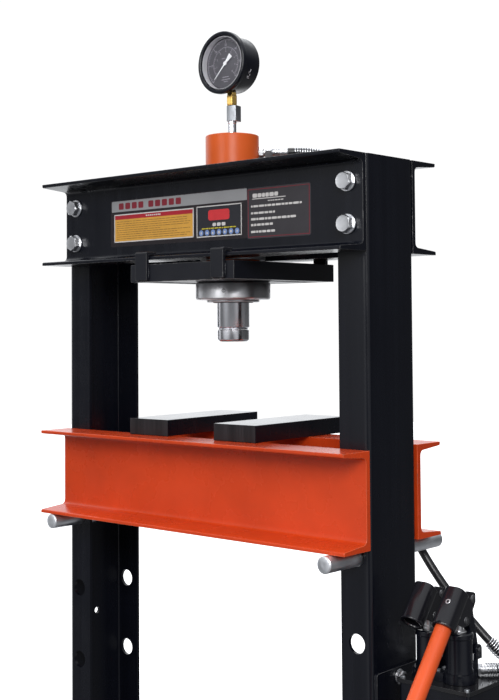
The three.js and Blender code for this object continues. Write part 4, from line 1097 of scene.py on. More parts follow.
def build_gauge():
    origin = (RAM_X, 0, GAUGE_Z)

    def turned(name, profile, material, nodes, slot, body="carriage", closed=True, sides=128, bevel=0.0):
        bm = lathe(bmesh.new(), profile, origin, sides=sides, closed=closed, basis=FRONT)
        finish_mesh(name, bm, material, body, nodes, bevel=bevel)

    r, back = GAUGE_CASE_RADIUS, GAUGE_BACK
    turned("gauge_case_body", [
        (0, back), (20, back), (21, back + 0.6), (24, back + 0.6), (25, back), (r - 3.6, back), (r - 1.4, back + 1),
        (r, back + 3.4), (r, 14), (r, 25.5), (r - 2, 25.5), (r - 2, back + 3), (0, back + 3),
    ], case_black, ["gauge_case"], "gauge_black", closed=False)
    rim, front = GAUGE_BEZEL_RADIUS, GAUGE_FRONT
    turned("gauge_bezel_body", [
        (r + GAP, 20), (rim - 1.8, 20), (rim - 0.6, 20.8), (rim, 22.4), (rim, front - 2.6), (rim - 0.8, front - 0.8),
        (rim - 2.4, front), (rim - 4.6, front), (r - 0.4, front - 0.8), (r - 1.4, front - 2.4), (r + GAP, front - 2.4),
    ], case_black, ["gauge_bezel"], "gauge_black")
    turned("gauge_ring", [
        (r - 2.2, 16.3), (r - 2.1, 25.4), (r - 3.2, 28.0), (r - 3.8, 28.0), (r - 3.6, 16.3),
    ], ring_white, (), "needle_white")
    turned("gauge_lens_body", [
        (0, 25.9), (r - 1.6, 25.9), (r - 1.6, 28.2), (0, 28.2),
    ], lens, ["gauge_lens"], "gauge_glass", closed=False)
    turned("gauge_dial_body", [
        (3, 15), (r - 2.3, 15), (r - 2.3, 16), (r - 2.8, DIAL_FACE), (3, DIAL_FACE),
    ], dial_grey, ["gauge_dial"], "dial")

    marks, red = bmesh.new(), bmesh.new()
    for i in range(61):
        major, middle = i % 10 == 0, i % 5 == 0
        dial_bar(marks, i / 60, 45 - (6.6 if major else 4.2 if middle else 2.8), 45, 0.95 if major else 0.5)
    dial_arc(marks, 44.7, 45.3, 0, 1)
    for i in range(41):
        major = i % 5 == 0
        dial_bar(marks, i / 40, 30.8 - (4.6 if major else 2.4), 30.8, 0.75 if major else 0.45)
    dial_arc(marks, 30.5, 31.0, 0, 1)
    dial_arc(red, 45.8, 47.2, 0.62, 1.0)
    for i in range(7):
        dial_number(marks, str(i * 10), 35.0, i / 6, 5.8)
    for i in range(9):
        dial_number(marks, str(i), 23.0, i / 8, 4.8)
    for x0, x1, z in ((-8, 8, -25.4), (-11, 11, -30.0), (-5, 5, -33.8), (-9.5, -1, 9.5)):
        count = max(2, round((x1 - x0) / 3))
        for k in range(count):
            left = RAM_X + x0 + (x1 - x0) * k / count
            box(marks, left, left + (x1 - x0) / count * 0.72, -DIAL_FACE - 0.15, -DIAL_FACE, GAUGE_Z + z,
                GAUGE_Z + z + 1.3)
    finish_mesh("gauge_dial_marks", marks, plain("dial_print", (0.36, 0.34, 0.39), 0.5), "carriage")
    finish_mesh("gauge_dial_red", red, plain("dial_red", (0.22, 0.045, 0.06), 0.5), "carriage")

    # Needle: slim blade, triangular tail and hub.
    out = Vector((math.cos(math.radians(SWEEP_START)), 0, math.sin(math.radians(SWEEP_START))))
    across = Vector((-out.z, 0, out.x))
    basis = (Vector((0, -1, 0)), across, out)
    bm = bmesh.new()
    prism(bm, [(-1.5, 0), (-4.9, -19.5), (-4.2, -20), (4.2, -20), (4.9, -19.5), (1.5, 0), (0.45, 37.6), (0, 38),
               (-0.45, 37.6)], "z", 18.2, 18.9, basis=basis, origin=origin)
    lathe(bm, [(0, 17.6), (3.2, 17.6), (3.8, 18), (3.8, 19.4), (3.2, 20), (1.6, 20), (1.4, 19.6), (0, 19.6)], origin,
          sides=48, basis=FRONT)
    lathe(bm, [(0, 6), (1.4, 6), (1.4, 18), (0, 18)], origin, sides=24, basis=FRONT)
    finish_mesh("gauge_needle_body", bm, needle_white, "needle", ["gauge_needle"], bevel=0.12,
                segments=1)

    bm = bmesh.new()
    box(bm, RAM_X - 16, RAM_X + 16, -13, 2, GAUGE_Z - 14, GAUGE_Z + 14)
    bm = subtracted(bm, [rod_cutter("y", 2, -16, 4, origin, 24)])
    finish_mesh("gauge_movement_body", bm, brass, "carriage", ["gauge_movement"], bevel=0.8)

    # Small pale marks on the lower right of the case, and two pale strips along the case's depth below them.
    bm = bmesh.new()
    for angle, along, width, tall in ((-20, 2, 1.3, 5.0), (-24, 4.5, 1.2, 4.0), (-29, 1.0, 1.1, 3.4),
                                      (-33, 3.8, 5.2, 1.0), (-36, 2.4, 6.8, 0.9)):
        a = math.radians(angle)
        radial = Vector((math.cos(a), 0, math.sin(a)))
        tangent = Vector((-radial.z, 0, radial.x))
        prism(bm, rounded(width, tall, min(width, tall) * 0.4, 3), "z", 0, 0.2,
              basis=(radial, Vector((0, 1, 0)), tangent), origin=Vector(origin) + radial * r + Vector((0, -along, 0)))
    finish_mesh("gauge_case_marks", bm, pale_case_marks, "carriage")

    # Stem, adapter and pipe.
    bm = bmesh.new()
    low = ADAPTER_TOP + GAP
    hexes = [(low, low + 2, 17.4), (low + 2, 1686, 18.4), (1686, GAUGE_Z - GAUGE_CASE_RADIUS - GAP, 17.0)]
    for low, high, flats in hexes:
        prism(bm, hexagon(flats, math.radians(12)), "z", low, high, origin=(RAM_X, 0, 0))
    finish_mesh("gauge_stem_body", bm, brass, "carriage", ["gauge_stem"], bevel=0.6)
    bm = bmesh.new()
    prism(bm, rounded(20, 20, 1.2, 3), "z", PIPE_TOP + GAP, ADAPTER_TOP)
    bm.transform(Matrix.Translation((RAM_X + 2.5, 2.3, 0)) @ Matrix.Rotation(math.radians(12), 4, "Z"))
    finish_mesh("gauge_adapter_body", bm, zinc_dull, "carriage", ["gauge_adapter"], bevel=0.7)
    bm = lathe(bmesh.new(), [
        (0, 1596), (5, 1596), (5, CYLINDER_TOP + GAP), (8.5, CYLINDER_TOP + GAP), (8.5, 1615), (8.0, 1615.6),
        (8.0, 1634), (8.5, 1634.6), (8.5, PIPE_TOP), (0, PIPE_TOP),
    ], (RAM_X, 0, 0), sides=64)
    finish_mesh("gauge_pipe_body", bm, chrome, "carriage", ["gauge_pipe"])


build_gauge()

# ---------------------------------------------------------------- bed, pins and heel blocks

sawn = Nodes("sawn_black_paint")


def sawn_paint(n):
    """Thin black paint over a saw-cut face: upright cutting lines in gloss, colour and height."""
    lines = n.noise(95, 4, 0.7, (1, 1, 0.035))
    n.link(n.mixed(n.ramp(lines, 0.42, 0.66), (0.0045, 0.0045, 0.006), (0.015, 0.015, 0.018)),
           n.shader.inputs["Base Color"])
    n.link(n.ramp(lines, 0.35, 0.7, 0.34, 0.55), n.shader.inputs["Roughness"])
    n.set(IOR=1.45)
    n.bump(lines, 0.5, 0.0006)
    return n.material


sawn_black = sawn_paint(sawn)
# Lighter, highly reflective copy of the black paint for the heel blocks' top faces: a painted sheen standing in for
# glare from above.
painted_top_sheen = paint("block_top_paint", (0.020, 0.020, 0.023), 0.15, ior=2.6, dust=0.01, peel=0.06)


def build_bed():
    for name, side in (("rear_bed_channel", 1), ("front_bed_channel", -1)):
        channel(name, BED_HALF, BED_FLANGE, BED_WEB, BED_BACK, BED_BOTTOM, side, orange_paint, orange_edge, "bed")
    reach = BED_BACK - GAP
    for name, x, seed in (("bed_spacer_left", -250, 40), ("bed_spacer_right", 250, 44)):
        bm = box(bmesh.new(), x - 5, x + 5, -reach, reach, BED_BOTTOM + 12, BED_TOP - 12)
        finish_mesh(name + "_plate", bm, orange_paint, "bed", [name], bevel=0.8,
                    edge_material=orange_edge)
        beads = bmesh.new()
        for k, (dx, y) in enumerate(((-5.5, -reach + 1), (5.5, -reach + 1), (-5.5, reach - 1), (5.5, reach - 1))):
            weld_bead(beads, (x + dx, y, BED_BOTTOM + 22), (x + dx, y, BED_TOP - 22), 2.6, 4.0, seed + k)
        finish_mesh(name + "_welds", beads, orange_paint, "bed", angle=math.radians(50))

    for name, x, front in (("left_support_pin", -HOLE_X, -138), ("right_support_pin", HOLE_X, -151)):
        r, end = PIN_RADIUS, front + PIN_LENGTH
        bm = lathe(bmesh.new(), [
            (0, front + 0.3), (2, front), (r - 2.2, front), (r - 1.4, front + 0.4), (r, front + 2),
            (r, end - 2), (r - 1.4, end - 0.4), (r - 2.2, end), (0, end),
        ], (x, 0, PIN_Z), "y", 96)
        finish_mesh(name + "_bar", bm, pin_chrome, name.replace("support_", ""), [name])

    for side, x, turn in (("left", -119.5, 3.3), ("right", 95.5, 2.0)):
        name = side + "_heel_block"
        stand = Matrix.Translation((x, -88, BED_TOP + GAP)) @ Matrix.Rotation(math.radians(turn), 4, "Z")
        bm = box(bmesh.new(), -47.5, 47.5, 0, 268, 0, 30)
        bm.transform(stand)
        bm.faces.ensure_lookup_table()
        block = finish_mesh(name + "_bar", bm, black_paint, side + "_block", [name], bevel=0.9)
        block.data.materials.append(sawn_black)
        block.data.materials.append(painted_top_sheen)
        # End faces take the sawn paint; top faces take the lighter copy, a painted sheen.
        for face in block.data.polygons:
            if abs(face.normal.y) > 0.9:
                face.material_index = 1
            elif face.normal.z > 0.9:
                face.material_index = 2


build_bed()

# ---------------------------------------------------------------- pump


def slab(bm, x0, x1, y0, y1, z0, z1, corner):
    """Upright block with round vertical corners."""
    outline = [(x + (x0 + x1) / 2, y + (y0 + y1) / 2) for x, y in rounded(x1 - x0, y1 - y0, corner, 8)]
    return prism(bm, outline, "z", z0, z1)


def along_handle_basis():
    along = Vector((0, -math.sin(HANDLE_TILT), -math.cos(HANDLE_TILT)))
    u = Vector((1, 0, 0))
    return along, u, along.cross(u)


HANDLE_BASIS = along_handle_basis()


def stadium(y0, z0, r0, y1, z1, r1, steps=14):
    """Outline in (y, z) round two circles."""
    heading = math.atan2(z1 - z0, y1 - y0)
    points = []
    for cy, cz, r, start in ((y0, z0, r0, heading + math.pi / 2), (y1, z1, r1, heading - math.pi / 2)):
        for i in range(steps + 1):
            angle = start + math.pi * i / steps
            points.append((cy + r * math.cos(angle), cz + r * math.sin(angle)))
    return points


def build_bracket():
    x0 = UPRIGHT_OUTER_X + GAP
    x1 = x0 + 6
    shelf = 553.7
    bm = bmesh.new()
    outline = [(y, z + 587.35) for y, z in rounded(120, 227.3, 5, 5)]
    prism(bm, outline, "x", x0, x1)
    bm = subtracted(bm, [rod_cutter("x", 6.4, 360, 390, (0, 0, z), 32) for z in BRACKET_BOLT_LEVELS])
    box(bm, x1 + 0.05, 534, -60, 60, shelf, shelf + 6)
    for y0, y1 in ((-60, -54), (54, 60)):
        prism(bm, [(shelf - 0.05, x1 + 0.05), (shelf - 0.05, 504), (shelf - 8, 504), (shelf - 70, x1 + 8),
                   (shelf - 70, x1 + 0.05)], "y", y0, y1)
    finish_mesh("pump_bracket_plate", bm, black_paint, "frame", ["pump_bracket"], bevel=0.8,
                edge_material=black_edge)
    beads = weld_bead(bmesh.new(), (x1 + 1.2, -58, shelf + 7), (x1 + 1.2, -45, shelf + 7), 2.4, 4, 60)
    for k, y in enumerate((-53, 53)):
        weld_bead(beads, (x1 + 1.4, y, shelf - 66), (x1 + 1.4, y, shelf - 3), 2.6, 4, 61 + k)
        weld_bead(beads, (x1 + 5, y, shelf - 1.4), (500, y, shelf - 1.4), 2.4, 4, 64 + k)
    finish_mesh("pump_bracket_welds", beads, black_paint, "frame", angle=math.radians(50))
    inside = UPRIGHT_OUTER_X - UPRIGHT_THICK - GAP
    outside = x1 + GAP
    for name, z in (("bracket_bolt_upper", BRACKET_BOLT_LEVELS[0]), ("bracket_bolt_lower", BRACKET_BOLT_LEVELS[1])):
        bm = bmesh.new()
        lathe(bm, [(0, inside - 12), (6, inside - 12), (6, outside + 1), (0, outside + 1)], (0, 0, z), "x", 32)
        hex_bolt(bm, (outside, 0, z), turned_basis(RIGHT, 12), 18, 7.4, 12, 2.5)
        hex_bolt(bm, (inside, 0, z), turned_basis(LEFT, 5), 18, 9.5, dish=False)
        threaded_end(bm, (inside - 9.5, 0, z), LEFT, 6, 4.5, 1.5)
        finish_mesh(name + "_hex", bm, zinc, "frame", [name], bevel=0.2, segments=1)


def build_tank():
    left, right, front, rear = TANK_LEFT, TANK_RIGHT, TANK_FRONT, TANK_REAR
    bm = slab(bmesh.new(), left, right, front, rear, TANK_BOTTOM, TANK_TOP - GAP, 7)
    bm = subtracted(bm, [slab(bmesh.new(), left + 3, right - 3, front + 3, rear - 3, TANK_BOTTOM + 3, 700, 4.5)])
    finish_mesh("oil_tank_box", bm, black_paint, "frame", ["oil_tank"], bevel=0.9,
                edge_material=black_edge)
    bm = slab(bmesh.new(), left - 3, right + 3, front - 3, rear + 3, TANK_TOP, PUMP_DECK, 5)
    bm = subtracted(bm, [rod_cutter("z", 9.4, 685, 705, (*FILLER, 0), 48),
                         rod_cutter("z", 3.6, PUMP_DECK - 3.5, PUMP_DECK + 2, (520, 51, 0), 32)])
    finish_mesh("tank_cover_plate", bm, cover_paint, "frame", ["tank_cover"], bevel=1.1,
                edge_material=black_edge)
    bm = bmesh.new()
    for x, y in ((x, y) for y in (front + 5, rear - 5) for x in (left + 5, right - 5)):
        hex_bolt(bm, (x, y, PUMP_DECK - 0.1), turned_basis(UP, x * 7 % 50), 8, 3.0, dish=False)
    for x, y in ((461.7, -12), (461.4, 5)):
        lathe(bm, [(0, 0), (3.8, 0), (4.2, 0.5), (4.2, 3.4), (3.7, 4), (2.2, 4), (2.2, 2), (0, 2)],
              (x, y, PUMP_DECK + 13.5), sides=32, basis=UP)
    finish_mesh("cover_screws", bm, zinc_dull, "frame", bevel=0.1, segments=1)
    bm = bmesh.new()
    lathe(bm, [(0, PUMP_DECK - 18), (8, PUMP_DECK - 18), (9, PUMP_DECK - 17), (9, PUMP_DECK + 2), (0, PUMP_DECK + 2)],
          (*FILLER, 0), sides=48)
    hex_bolt(bm, (*FILLER, PUMP_DECK + GAP), turned_basis(UP, 17), 22, 8.6)
    finish_mesh("filler_plug_hex", bm, zinc, "filler", ["filler_plug"], bevel=0.3)


cover_paint = paint("cover_gloss_paint", (0.010, 0.010, 0.012), 0.14, ior=1.5, dust=0.03, peel=0.12)
handle_paint = paint("handle_paint", (0.70, 0.092, 0.020), 0.26, dust=0.01, peel=0.12,
                     dust_color=(0.34, 0.12, 0.07))


def barrel(bm, x, radius, bore, top):
    """Pump barrel: neck, rim and gland nut round the plunger."""
    deck = PUMP_DECK + GAP
    r = radius
    return lathe(bm, [
        (bore, deck + 20), (bore, top), (bore + 1, top), (r - 2.4, top), (r, top - 2), (r, top - 8.4),
        (r - 0.6, top - 9), (r - 1.4, top - 10), (r - 1.4, deck + 22),
        (r - 0.4, deck + 18), (r, deck + 13), (bore, deck + 13),
    ], (x, 0, 0), sides=96, closed=True)


def build_pump_body():
    deck = PUMP_DECK + GAP
    bm = bmesh.new()
    slab(bm, LEFT_PUMP_X - 22, RIGHT_PUMP_X + 8, -18, 40, deck, deck + 13.3, 6)
    prism(bm, [(416, 12), (505, 12), (505, 35), (482, HOUSING_REAR), (416, HOUSING_REAR)], "z", deck + 0.1, deck + 30)
    lathe(bm, [(0, deck + 0.2), (23.7, deck + 0.2), (23.7, deck + 14.6), (0, deck + 14.6)], (LEFT_PUMP_X, 0, 0),
          sides=64)
    lathe(bm, [(0, deck + 0.3), (26.3, deck + 0.3), (26.3, deck + 15.2), (0, deck + 15.2)], (RIGHT_PUMP_X, 0, 0),
          sides=64)
    outlet_hole = rod_cutter("x", 6.4, -16, 5, (0, 0, 0), 32)
    outlet_hole.transform(OUTLET_FRAME)
    bm = subtracted(bm, [rod_cutter("y", 6.4, HOUSING_REAR - 16, HOUSING_REAR + 5, (VALVE_X, 0, VALVE_Z), 32),
                         outlet_hole])
    finish_mesh("pump_body_casting", bm, black_paint, "frame", ["pump_body"], bevel=1.4, segments=3)
    bm = barrel(bmesh.new(), RIGHT_PUMP_X, 22.5, 12.4, 776)
    barrel(bm, LEFT_PUMP_X, 20, 9.4, 772)
    finish_mesh("pump_barrels", bm, black_paint, "frame", bevel=0.6)
    y, z = LINK_FOOT
    ears, pins = bmesh.new(), bmesh.new()
    for x in (LEFT_PUMP_X, RIGHT_PUMP_X):
        for side in (-1, 1):
            a, b = sorted((x + side * 7, x + side * 12))
            prism(ears, [(y - 9, deck + 29), (y + 9, deck + 29)] + bend_arc(y, z, 9, 0, 180, 16), "x", a, b)
        lathe(pins, [(0, -14), (3.4, -14), (4, -13.4), (4, 13.4), (3.4, 14), (0, 14)], (x, y, z), "x", 32)
    finish_mesh("pump_ears", ears, black_paint, "frame", bevel=0.8)
    finish_mesh("pump_ear_pins", pins, dark_steel, "frame")


def build_linkage():
    fy, fz = FULCRUM
    ly, lz = LINK_FOOT
    along, u, v = HANDLE_BASIS
    for side, x, radius in (("left", LEFT_PUMP_X, 9), ("right", RIGHT_PUMP_X, 12)):
        bm = prism(bmesh.new(), stadium(ly, lz, 8, fy, fz, 8), "x", x - 6, x + 6)
        bm = subtracted(bm, [rod_cutter("x", 4.3, x - 20, x + 20, (0, y, z), 32) for y, z in ((ly, lz), (fy, fz))])
        finish_mesh(side + "_link_bar", bm, black_paint, side + "_link", [side + "_link"], bevel=0.7)

        # Socket: pressed U section with a round bore, two cheeks, ears at the fulcrum and a flared mouth.
        origin = Vector((x, SOCKET_TOP[0], SOCKET_TOP[1]))
        bm = prism(bmesh.new(), rounded(33.2, 33.2, 11, 8), "z", 0, SOCKET_LENGTH - 1.5, basis=HANDLE_BASIS,
                   origin=origin)
        bm = subtracted(bm, [lathe(bmesh.new(), [(0, 5), (13.5, 5), (13.5, 90), (0, 90)], origin, sides=64,
                                   basis=HANDLE_BASIS)])
        socket = side + "_socket"
        finish_mesh(socket + "_tube", bm, socket_paint, socket, [side + "_handle_socket"], bevel=1.0,
                    segments=3, edge_material=black_edge)
        rim = lathe(bmesh.new(), [
            (13.6, SOCKET_LENGTH - 7), (16.4, SOCKET_LENGTH - 7), (16.9, SOCKET_LENGTH - 4),
            (18.8, SOCKET_LENGTH - 1.4), (18.9, SOCKET_LENGTH - 0.2), (18.0, SOCKET_LENGTH), (14.6, SOCKET_LENGTH),
            (13.6, SOCKET_LENGTH - 1.6),
        ], origin, sides=72, closed=True, basis=HANDLE_BASIS)
        finish_mesh(socket + "_rim", rim, socket_paint, socket)
        cheek = [
            (SOCKET_TOP[0] + 8, SOCKET_TOP[1] + 1), (fy + 3, fz + 10), (fy + 7, fz + 8.5), (fy + 9, fz + 5),
            (fy + 9, fz - 6), (fy + 1, 808), (13, PLUNGER_PIN_Z + 3), (11.5, PLUNGER_PIN_Z - 4),
            (8, PLUNGER_PIN_Z - 8), (-6, PLUNGER_PIN_Z - 10), (-30, 795), (-38, 800), (-12, 836),
        ]
        cheeks = bmesh.new()
        for low, high in ((x - 14, x - 9.6), (x + 9.6, x + 14)):
            prism(cheeks, cheek, "x", low, high)
        finish_mesh(socket + "_cheeks", cheeks, socket_paint, socket, bevel=1.2, segments=3)
        pins = bmesh.new()
        for y, z, r in ((fy, fz, 4), (0, PLUNGER_PIN_Z, 3.5)):
            lathe(pins, [(0, -15.8), (r - 0.6, -15.8), (r, -15.2), (r, 15.2), (r - 0.6, 15.8), (0, 15.8)], (x, y, z),
                  "x", 32)
            for end in (-1, 1):
                lathe(pins, [(0, 14.1 * end), (r + 2.6, 14.1 * end), (r + 2.2, 15.2 * end), (0, 15.2 * end)],
                      (x, y, z), "x", 32)
        finish_mesh(socket + "_pins", pins, dark_steel, socket)

        pin = PLUNGER_PIN_Z
        bm = lathe(bmesh.new(), [
            (0, PUMP_DECK + 24), (radius - 0.8, PUMP_DECK + 24), (radius, PUMP_DECK + 25), (radius, pin - 18),
            (radius - 0.8, pin - 17), (7.5, pin - 17), (7.5, pin - 8), (0, pin - 8),
        ], (x, 0, 0), sides=64)
        finish_mesh(side + "_plunger_rod", bm, turned_steel, side + "_pump_plunger", [side + "_plunger"])
        bm = prism(bmesh.new(), stadium(-0.1, pin, 10.5, 0.1, pin, 10.5), "x", x - 7, x + 7)
        bm = subtracted(bm, [prism(bmesh.new(), stadium(-2, pin, 5, 2, pin, 5), "x", x - 20, x + 20)])
        finish_mesh(side + "_plunger_head", bm, dark_steel, side + "_pump_plunger", bevel=0.5)

    # Clamp screw in the front of the right socket.
    face = Vector((RIGHT_PUMP_X, SOCKET_TOP[0], SOCKET_TOP[1])) + along * 27 + v * 16.6 + u * 1.5
    bm = lathe(bmesh.new(), [(0, -1), (4.2, -1), (4.2, 0.2), (3.8, 0.5), (2.4, 0.5), (2.0, -0.6), (0, -0.6)], face,
               sides=32, basis=(v, u, along))
    finish_mesh("right_socket_screw", bm, zinc, "right_socket")


socket_paint = paint("socket_paint", (0.009, 0.0088, 0.012), 0.13, ior=1.55, dust=0.05, peel=0.15)


def build_handle():
    origin = (RIGHT_PUMP_X, SOCKET_TOP[0], SOCKET_TOP[1])
    end = 6 + 480
    bm = lathe(bmesh.new(), [
        (10.7, 6), (12.8, 6), (13.2, 6.5), (13.2, end - 2), (11.6, end), (0, end), (0, end - 10), (10.7, end - 10),
    ], origin, sides=96, basis=HANDLE_BASIS)
    grid_open = [e for e in bm.edges if e.is_boundary]
    bmesh.ops.bridge_loops(bm, edges=grid_open)
    finish_mesh("pump_handle_tube", bm, handle_paint, "handle", ["pump_handle"])


def build_fittings():
    # Release valve: fluted knob on its spindle, at the back of the housing.
    outline = []
    for i in range(144):
        angle = 2 * math.pi * i / 144
        r = 12.0 + 0.5 * math.cos(18 * angle)
        outline.append((r * math.cos(angle) + VALVE_Z, r * math.sin(angle) + VALVE_X))
    origin = (VALVE_X, HOUSING_REAR, VALVE_Z)
    bm = prism(bmesh.new(), outline, "y", HOUSING_REAR + 3.2, HOUSING_REAR + 12.4)
    lathe(bm, [(0, 12), (10.2, 12), (9.4, 13.6), (8.2, 14), (0, 14)], origin, "y", 64)
    finish_mesh("release_valve_knob", bm, knob_black, "valve", ["release_valve"], bevel=0.5)
    bm = lathe(bmesh.new(), [(0, -14), (5.6, -14), (6, -13.5), (6, 4), (0, 4)], origin, "y", 48)
    finish_mesh("release_valve_spindle", bm, dark_steel, "valve")

    # Outlet nipple and the crimped sleeve on the hose.
    bm = bmesh.new()
    lathe(bm, [(0, -12), (6, -12), (6, 3), (0, 3)], (0, 0, 0), "x", 32)
    hex_bolt(bm, (GAP, 0, 0), turned_basis(RIGHT, 10), 16.6, 6.7, dish=False)
    lathe(bm, [(0, 6.6), (6.8, 6.6), (7.2, 8), (8.6, 9), (8.6, 13), (7.8, 13.6), (7.8, 23), (7.4, 23.6),
               (7.4, 25), (7.8, 25.6), (7.8, 31), (7.6, 33.2), (0, 33.6)], (0, 0, 0), "x", 48)
    bm.transform(OUTLET_FRAME)
    finish_mesh("pump_outlet_nipple", bm, zinc, "frame", ["pump_outlet"], bevel=0.3)


build_bracket()
build_tank()
build_pump_body()
build_linkage()
build_handle()
build_fittings()

# ---------------------------------------------------------------- base


def build_base():
    half_width, t, r = 38, 6, 8
    under = FOOT_HEIGHT - t
    section = (
        [(0, -half_width)] + [(FOOT_HEIGHT - r + r * math.sin(math.radians(a)),
                               -half_width + r - r * math.cos(math.radians(a))) for a in range(0, 91, 15)]
        + [(FOOT_HEIGHT - r + r * math.cos(math.radians(a)),
            half_width - r + r * math.sin(math.radians(a))) for a in range(0, 91, 15)]
        + [(0, half_width), (0, half_width - t), (under, half_width - t), (under, t - half_width), (0, t - half_width)]
    )
    wall = UPRIGHT_DEPTH / 2 + GAP
    toe, foot, top, lap = 328, FOOT_HEIGHT + GAP, 420, 46
    brace = [
        (toe, foot), (toe, foot + t), (toe - lap + t / 2, foot + t), (wall + t, top - lap + t / 2), (wall + t, top),
        (wall, top), (wall, top - lap - t / 2), (toe - lap - t / 2, foot),
    ]
    seed = 80
    for name, x in (("left", -340), ("right", 340)):
        bm = prism(bmesh.new(), [(z, u + x) for z, u in section], "y", -340, 340)
        finish_mesh(name + "_foot_channel", bm, black_paint, "frame", [name + "_foot"], bevel=0.8,
                    edge_material=black_edge)
        beads = bmesh.new()
        for where, side in (("rear", 1), ("front", -1)):
            bm = prism(bmesh.new(), [(side * y, z) for y, z in brace], "x", x - 20, x + 20)
            finish_mesh(f"{name}_{where}_brace_bar", bm, black_paint, "frame", [f"{name}_{where}_brace"],
                        bevel=0.8, edge_material=black_edge)
            for edge in (-20, 20):
                seed += 2
                weld_bead(beads, (x + edge, side * (toe - 44), foot + 1), (x + edge, side * (toe - 2), foot + 1),
                          2.6, 4.2, seed)
                weld_bead(beads, (x + edge, side * (wall + 1), top - 42), (x + edge, side * (wall + 1), top - 2),
                          2.6, 4.2, seed + 1)
            seed += 1
            weld_bead(beads, (x - 26, side * (wall + 0.4), foot + 1.4), (x + 26, side * (wall + 0.4), foot + 1.4),
                      3.0, 4.4, seed)
        finish_mesh(name + "_foot_welds", beads, black_paint, "frame", angle=math.radians(50))
    y0, y1, z0, z1 = -25, 25, 60, 160
    outline = [(y0, z0), (y1, z0), (y1, z0 + t), (y0 + t, z0 + t), (y0 + t, z1 - t), (y1, z1 - t), (y1, z1), (y0, z1)]
    reach = UPRIGHT_OUTER_X - UPRIGHT_THICK - GAP
    finish_mesh("lower_crossbeam_channel", prism(bmesh.new(), outline, "x", -reach, reach), black_paint, "frame",
                ["lower_crossbeam"], bevel=1.2, edge_material=black_edge)
    beads = bmesh.new()
    for k, side in enumerate((-1, 1)):
        x = side * (reach - 1)
        weld_bead(beads, (x, y0 - 0.6, z0 + 3), (x, y0 - 0.6, z1 - 3), 2.8, 4.2, 120 + k)
        weld_bead(beads, (x, y0 + 3, z1 + 0.6), (x, y1 - 3, z1 + 0.6), 2.8, 4.2, 124 + k)
    finish_mesh("crossbeam_welds", beads, black_paint, "frame", angle=math.radians(50))


build_base()

# ---------------------------------------------------------------- carried-over nodes

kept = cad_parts["return_spring"]
kept.data.materials.clear()
kept.data.materials.append(spring_steel)

# ---------------------------------------------------------------- floor, light and sky


def build_floor():
    n = Nodes("floor_white")
    n.link(n.mixed(n.ramp(n.noise(1.2, 4), 0.3, 0.7), (0.90, 0.90, 0.90), (0.93, 0.93, 0.93)),
           n.shader.inputs["Base Color"])
    n.link(n.ramp(n.noise(40, 3), 0.3, 0.7, 0.75, 0.9), n.shader.inputs["Roughness"])
    n.bump(n.noise(60, 3), 0.05, 0.001)
    n.set(Emission_Strength=0.80)
    n.shader.inputs["Emission Color"].default_value = (1, 1, 1, 1)
    bm = bmesh.new()
    rings = [ring_of(bm, Vector((0, 0, -0.0004)), Vector((1, 0, 0)), Vector((0, 1, 0)), r, 96)
             for r in (0.5, 2, 6, 14)]
    bm.faces.new(rings[0])
    grid_faces(bm, rings)
    bmesh.ops.recalc_face_normals(bm, faces=bm.faces[:])
    mesh = bpy.data.meshes.new("floor")
    bm.to_mesh(mesh)
    bm.free()
    mesh.materials.append(n.material)
    floor = bpy.data.objects.new("floor", mesh)
    bpy.context.scene.collection.objects.link(floor)
    floor.visible_glossy = False
    floor.visible_diffuse = False


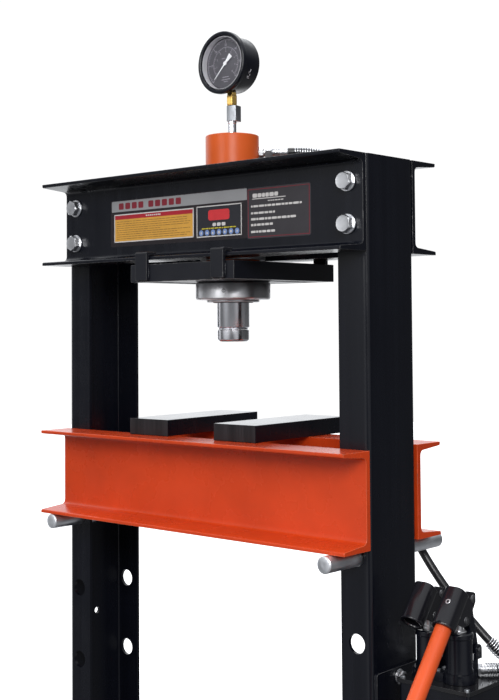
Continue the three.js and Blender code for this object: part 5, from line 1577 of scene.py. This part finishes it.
def build_sky():
    """White to the camera. All else sees a studio that is bright at the left, behind and above, dark at the right."""
    world = bpy.data.worlds.new("studio")
    bpy.context.scene.world = world
    world.use_nodes = True
    tree = world.node_tree
    tree.nodes.clear()
    out = tree.nodes.new("ShaderNodeOutputWorld")
    coordinates = tree.nodes.new("ShaderNodeTexCoord")

    def math_node(operation, a, b=None):
        node = tree.nodes.new("ShaderNodeMath")
        node.operation = operation
        for value, socket in ((a, node.inputs[0]), (b, node.inputs[1])):
            if value is None:
                continue
            if hasattr(value, "is_linked"):
                tree.links.new(value, socket)
            else:
                socket.default_value = value
        return node.outputs[0]

    def toward(direction, low, high, amount):
        """amount in this direction, fading to nothing."""
        dot = tree.nodes.new("ShaderNodeVectorMath")
        dot.operation = "DOT_PRODUCT"
        tree.links.new(coordinates.outputs["Generated"], dot.inputs[0])
        dot.inputs[1].default_value = Vector(direction).normalized()
        fade = tree.nodes.new("ShaderNodeMapRange")
        fade.interpolation_type = "SMOOTHSTEP"
        fade.inputs["From Min"].default_value = low
        fade.inputs["From Max"].default_value = high
        fade.inputs["To Min"].default_value = 0
        fade.inputs["To Max"].default_value = amount
        tree.links.new(dot.outputs["Value"], fade.inputs["Value"])
        return fade.outputs["Result"]

    level = 0.085
    for direction, low, high, amount in SKY:
        level = math_node("ADD", level, toward(direction, low, high, amount))
    dim = tree.nodes.new("ShaderNodeBackground")
    tree.links.new(level, dim.inputs["Strength"])
    dim.inputs["Color"].default_value = (0.95, 0.97, 1.0, 1)
    white = tree.nodes.new("ShaderNodeBackground")
    white.inputs["Color"].default_value = (1, 1, 1, 1)
    white.inputs["Strength"].default_value = 1.05
    path = tree.nodes.new("ShaderNodeLightPath")
    mix = tree.nodes.new("ShaderNodeMixShader")
    tree.links.new(path.outputs["Is Camera Ray"], mix.inputs[0])
    tree.links.new(dim.outputs[0], mix.inputs[1])
    tree.links.new(white.outputs[0], mix.inputs[2])
    tree.links.new(mix.outputs[0], out.inputs["Surface"])


# Direction, cosines where the glow starts and is full, strength
SKY = (
    ((-0.90, 0.45, 0.15), 0.45, 0.90, 1.25),
    ((-0.20, -0.97, 0.12), 0.76, 0.99, 0.62),
    ((0, 0, 1), 0.20, 0.90, 0.75),
    ((0.95, -0.30, 0.10), 0.75, 0.97, 0.45),
    ((0, 0, -1), 0.10, 0.70, 0.22),
)


def area_light(name, place, target, size, power, color=(1, 1, 1)):
    data = bpy.data.lights.new(name, "AREA")
    data.shape = "RECTANGLE"
    data.size, data.size_y = size
    data.energy = power
    data.color = color
    lamp = bpy.data.objects.new(name, data)
    bpy.context.scene.collection.objects.link(lamp)
    lamp.location = place
    lamp.rotation_euler = (Vector(target) - Vector(place)).to_track_quat("-Z", "Y").to_euler()
    return lamp


build_floor()
build_sky()
area_light("key", (2.5, -2.7, 2.7), (0, 0, 1.1), (1.5, 1.5), 95)
area_light("front_fill", (-0.3, -3.6, 2.4), (0, 0, 1.1), (1.4, 1.4), 30)
area_light("top", (-0.2, 0.2, 3.8), (0, 0, 1.0), (2.2, 2.2), 40)

scene = bpy.context.scene
scene.view_settings.view_transform = "Standard"
scene.view_settings.look = "None"
scene.view_settings.exposure = 0
scene.view_settings.gamma = 1
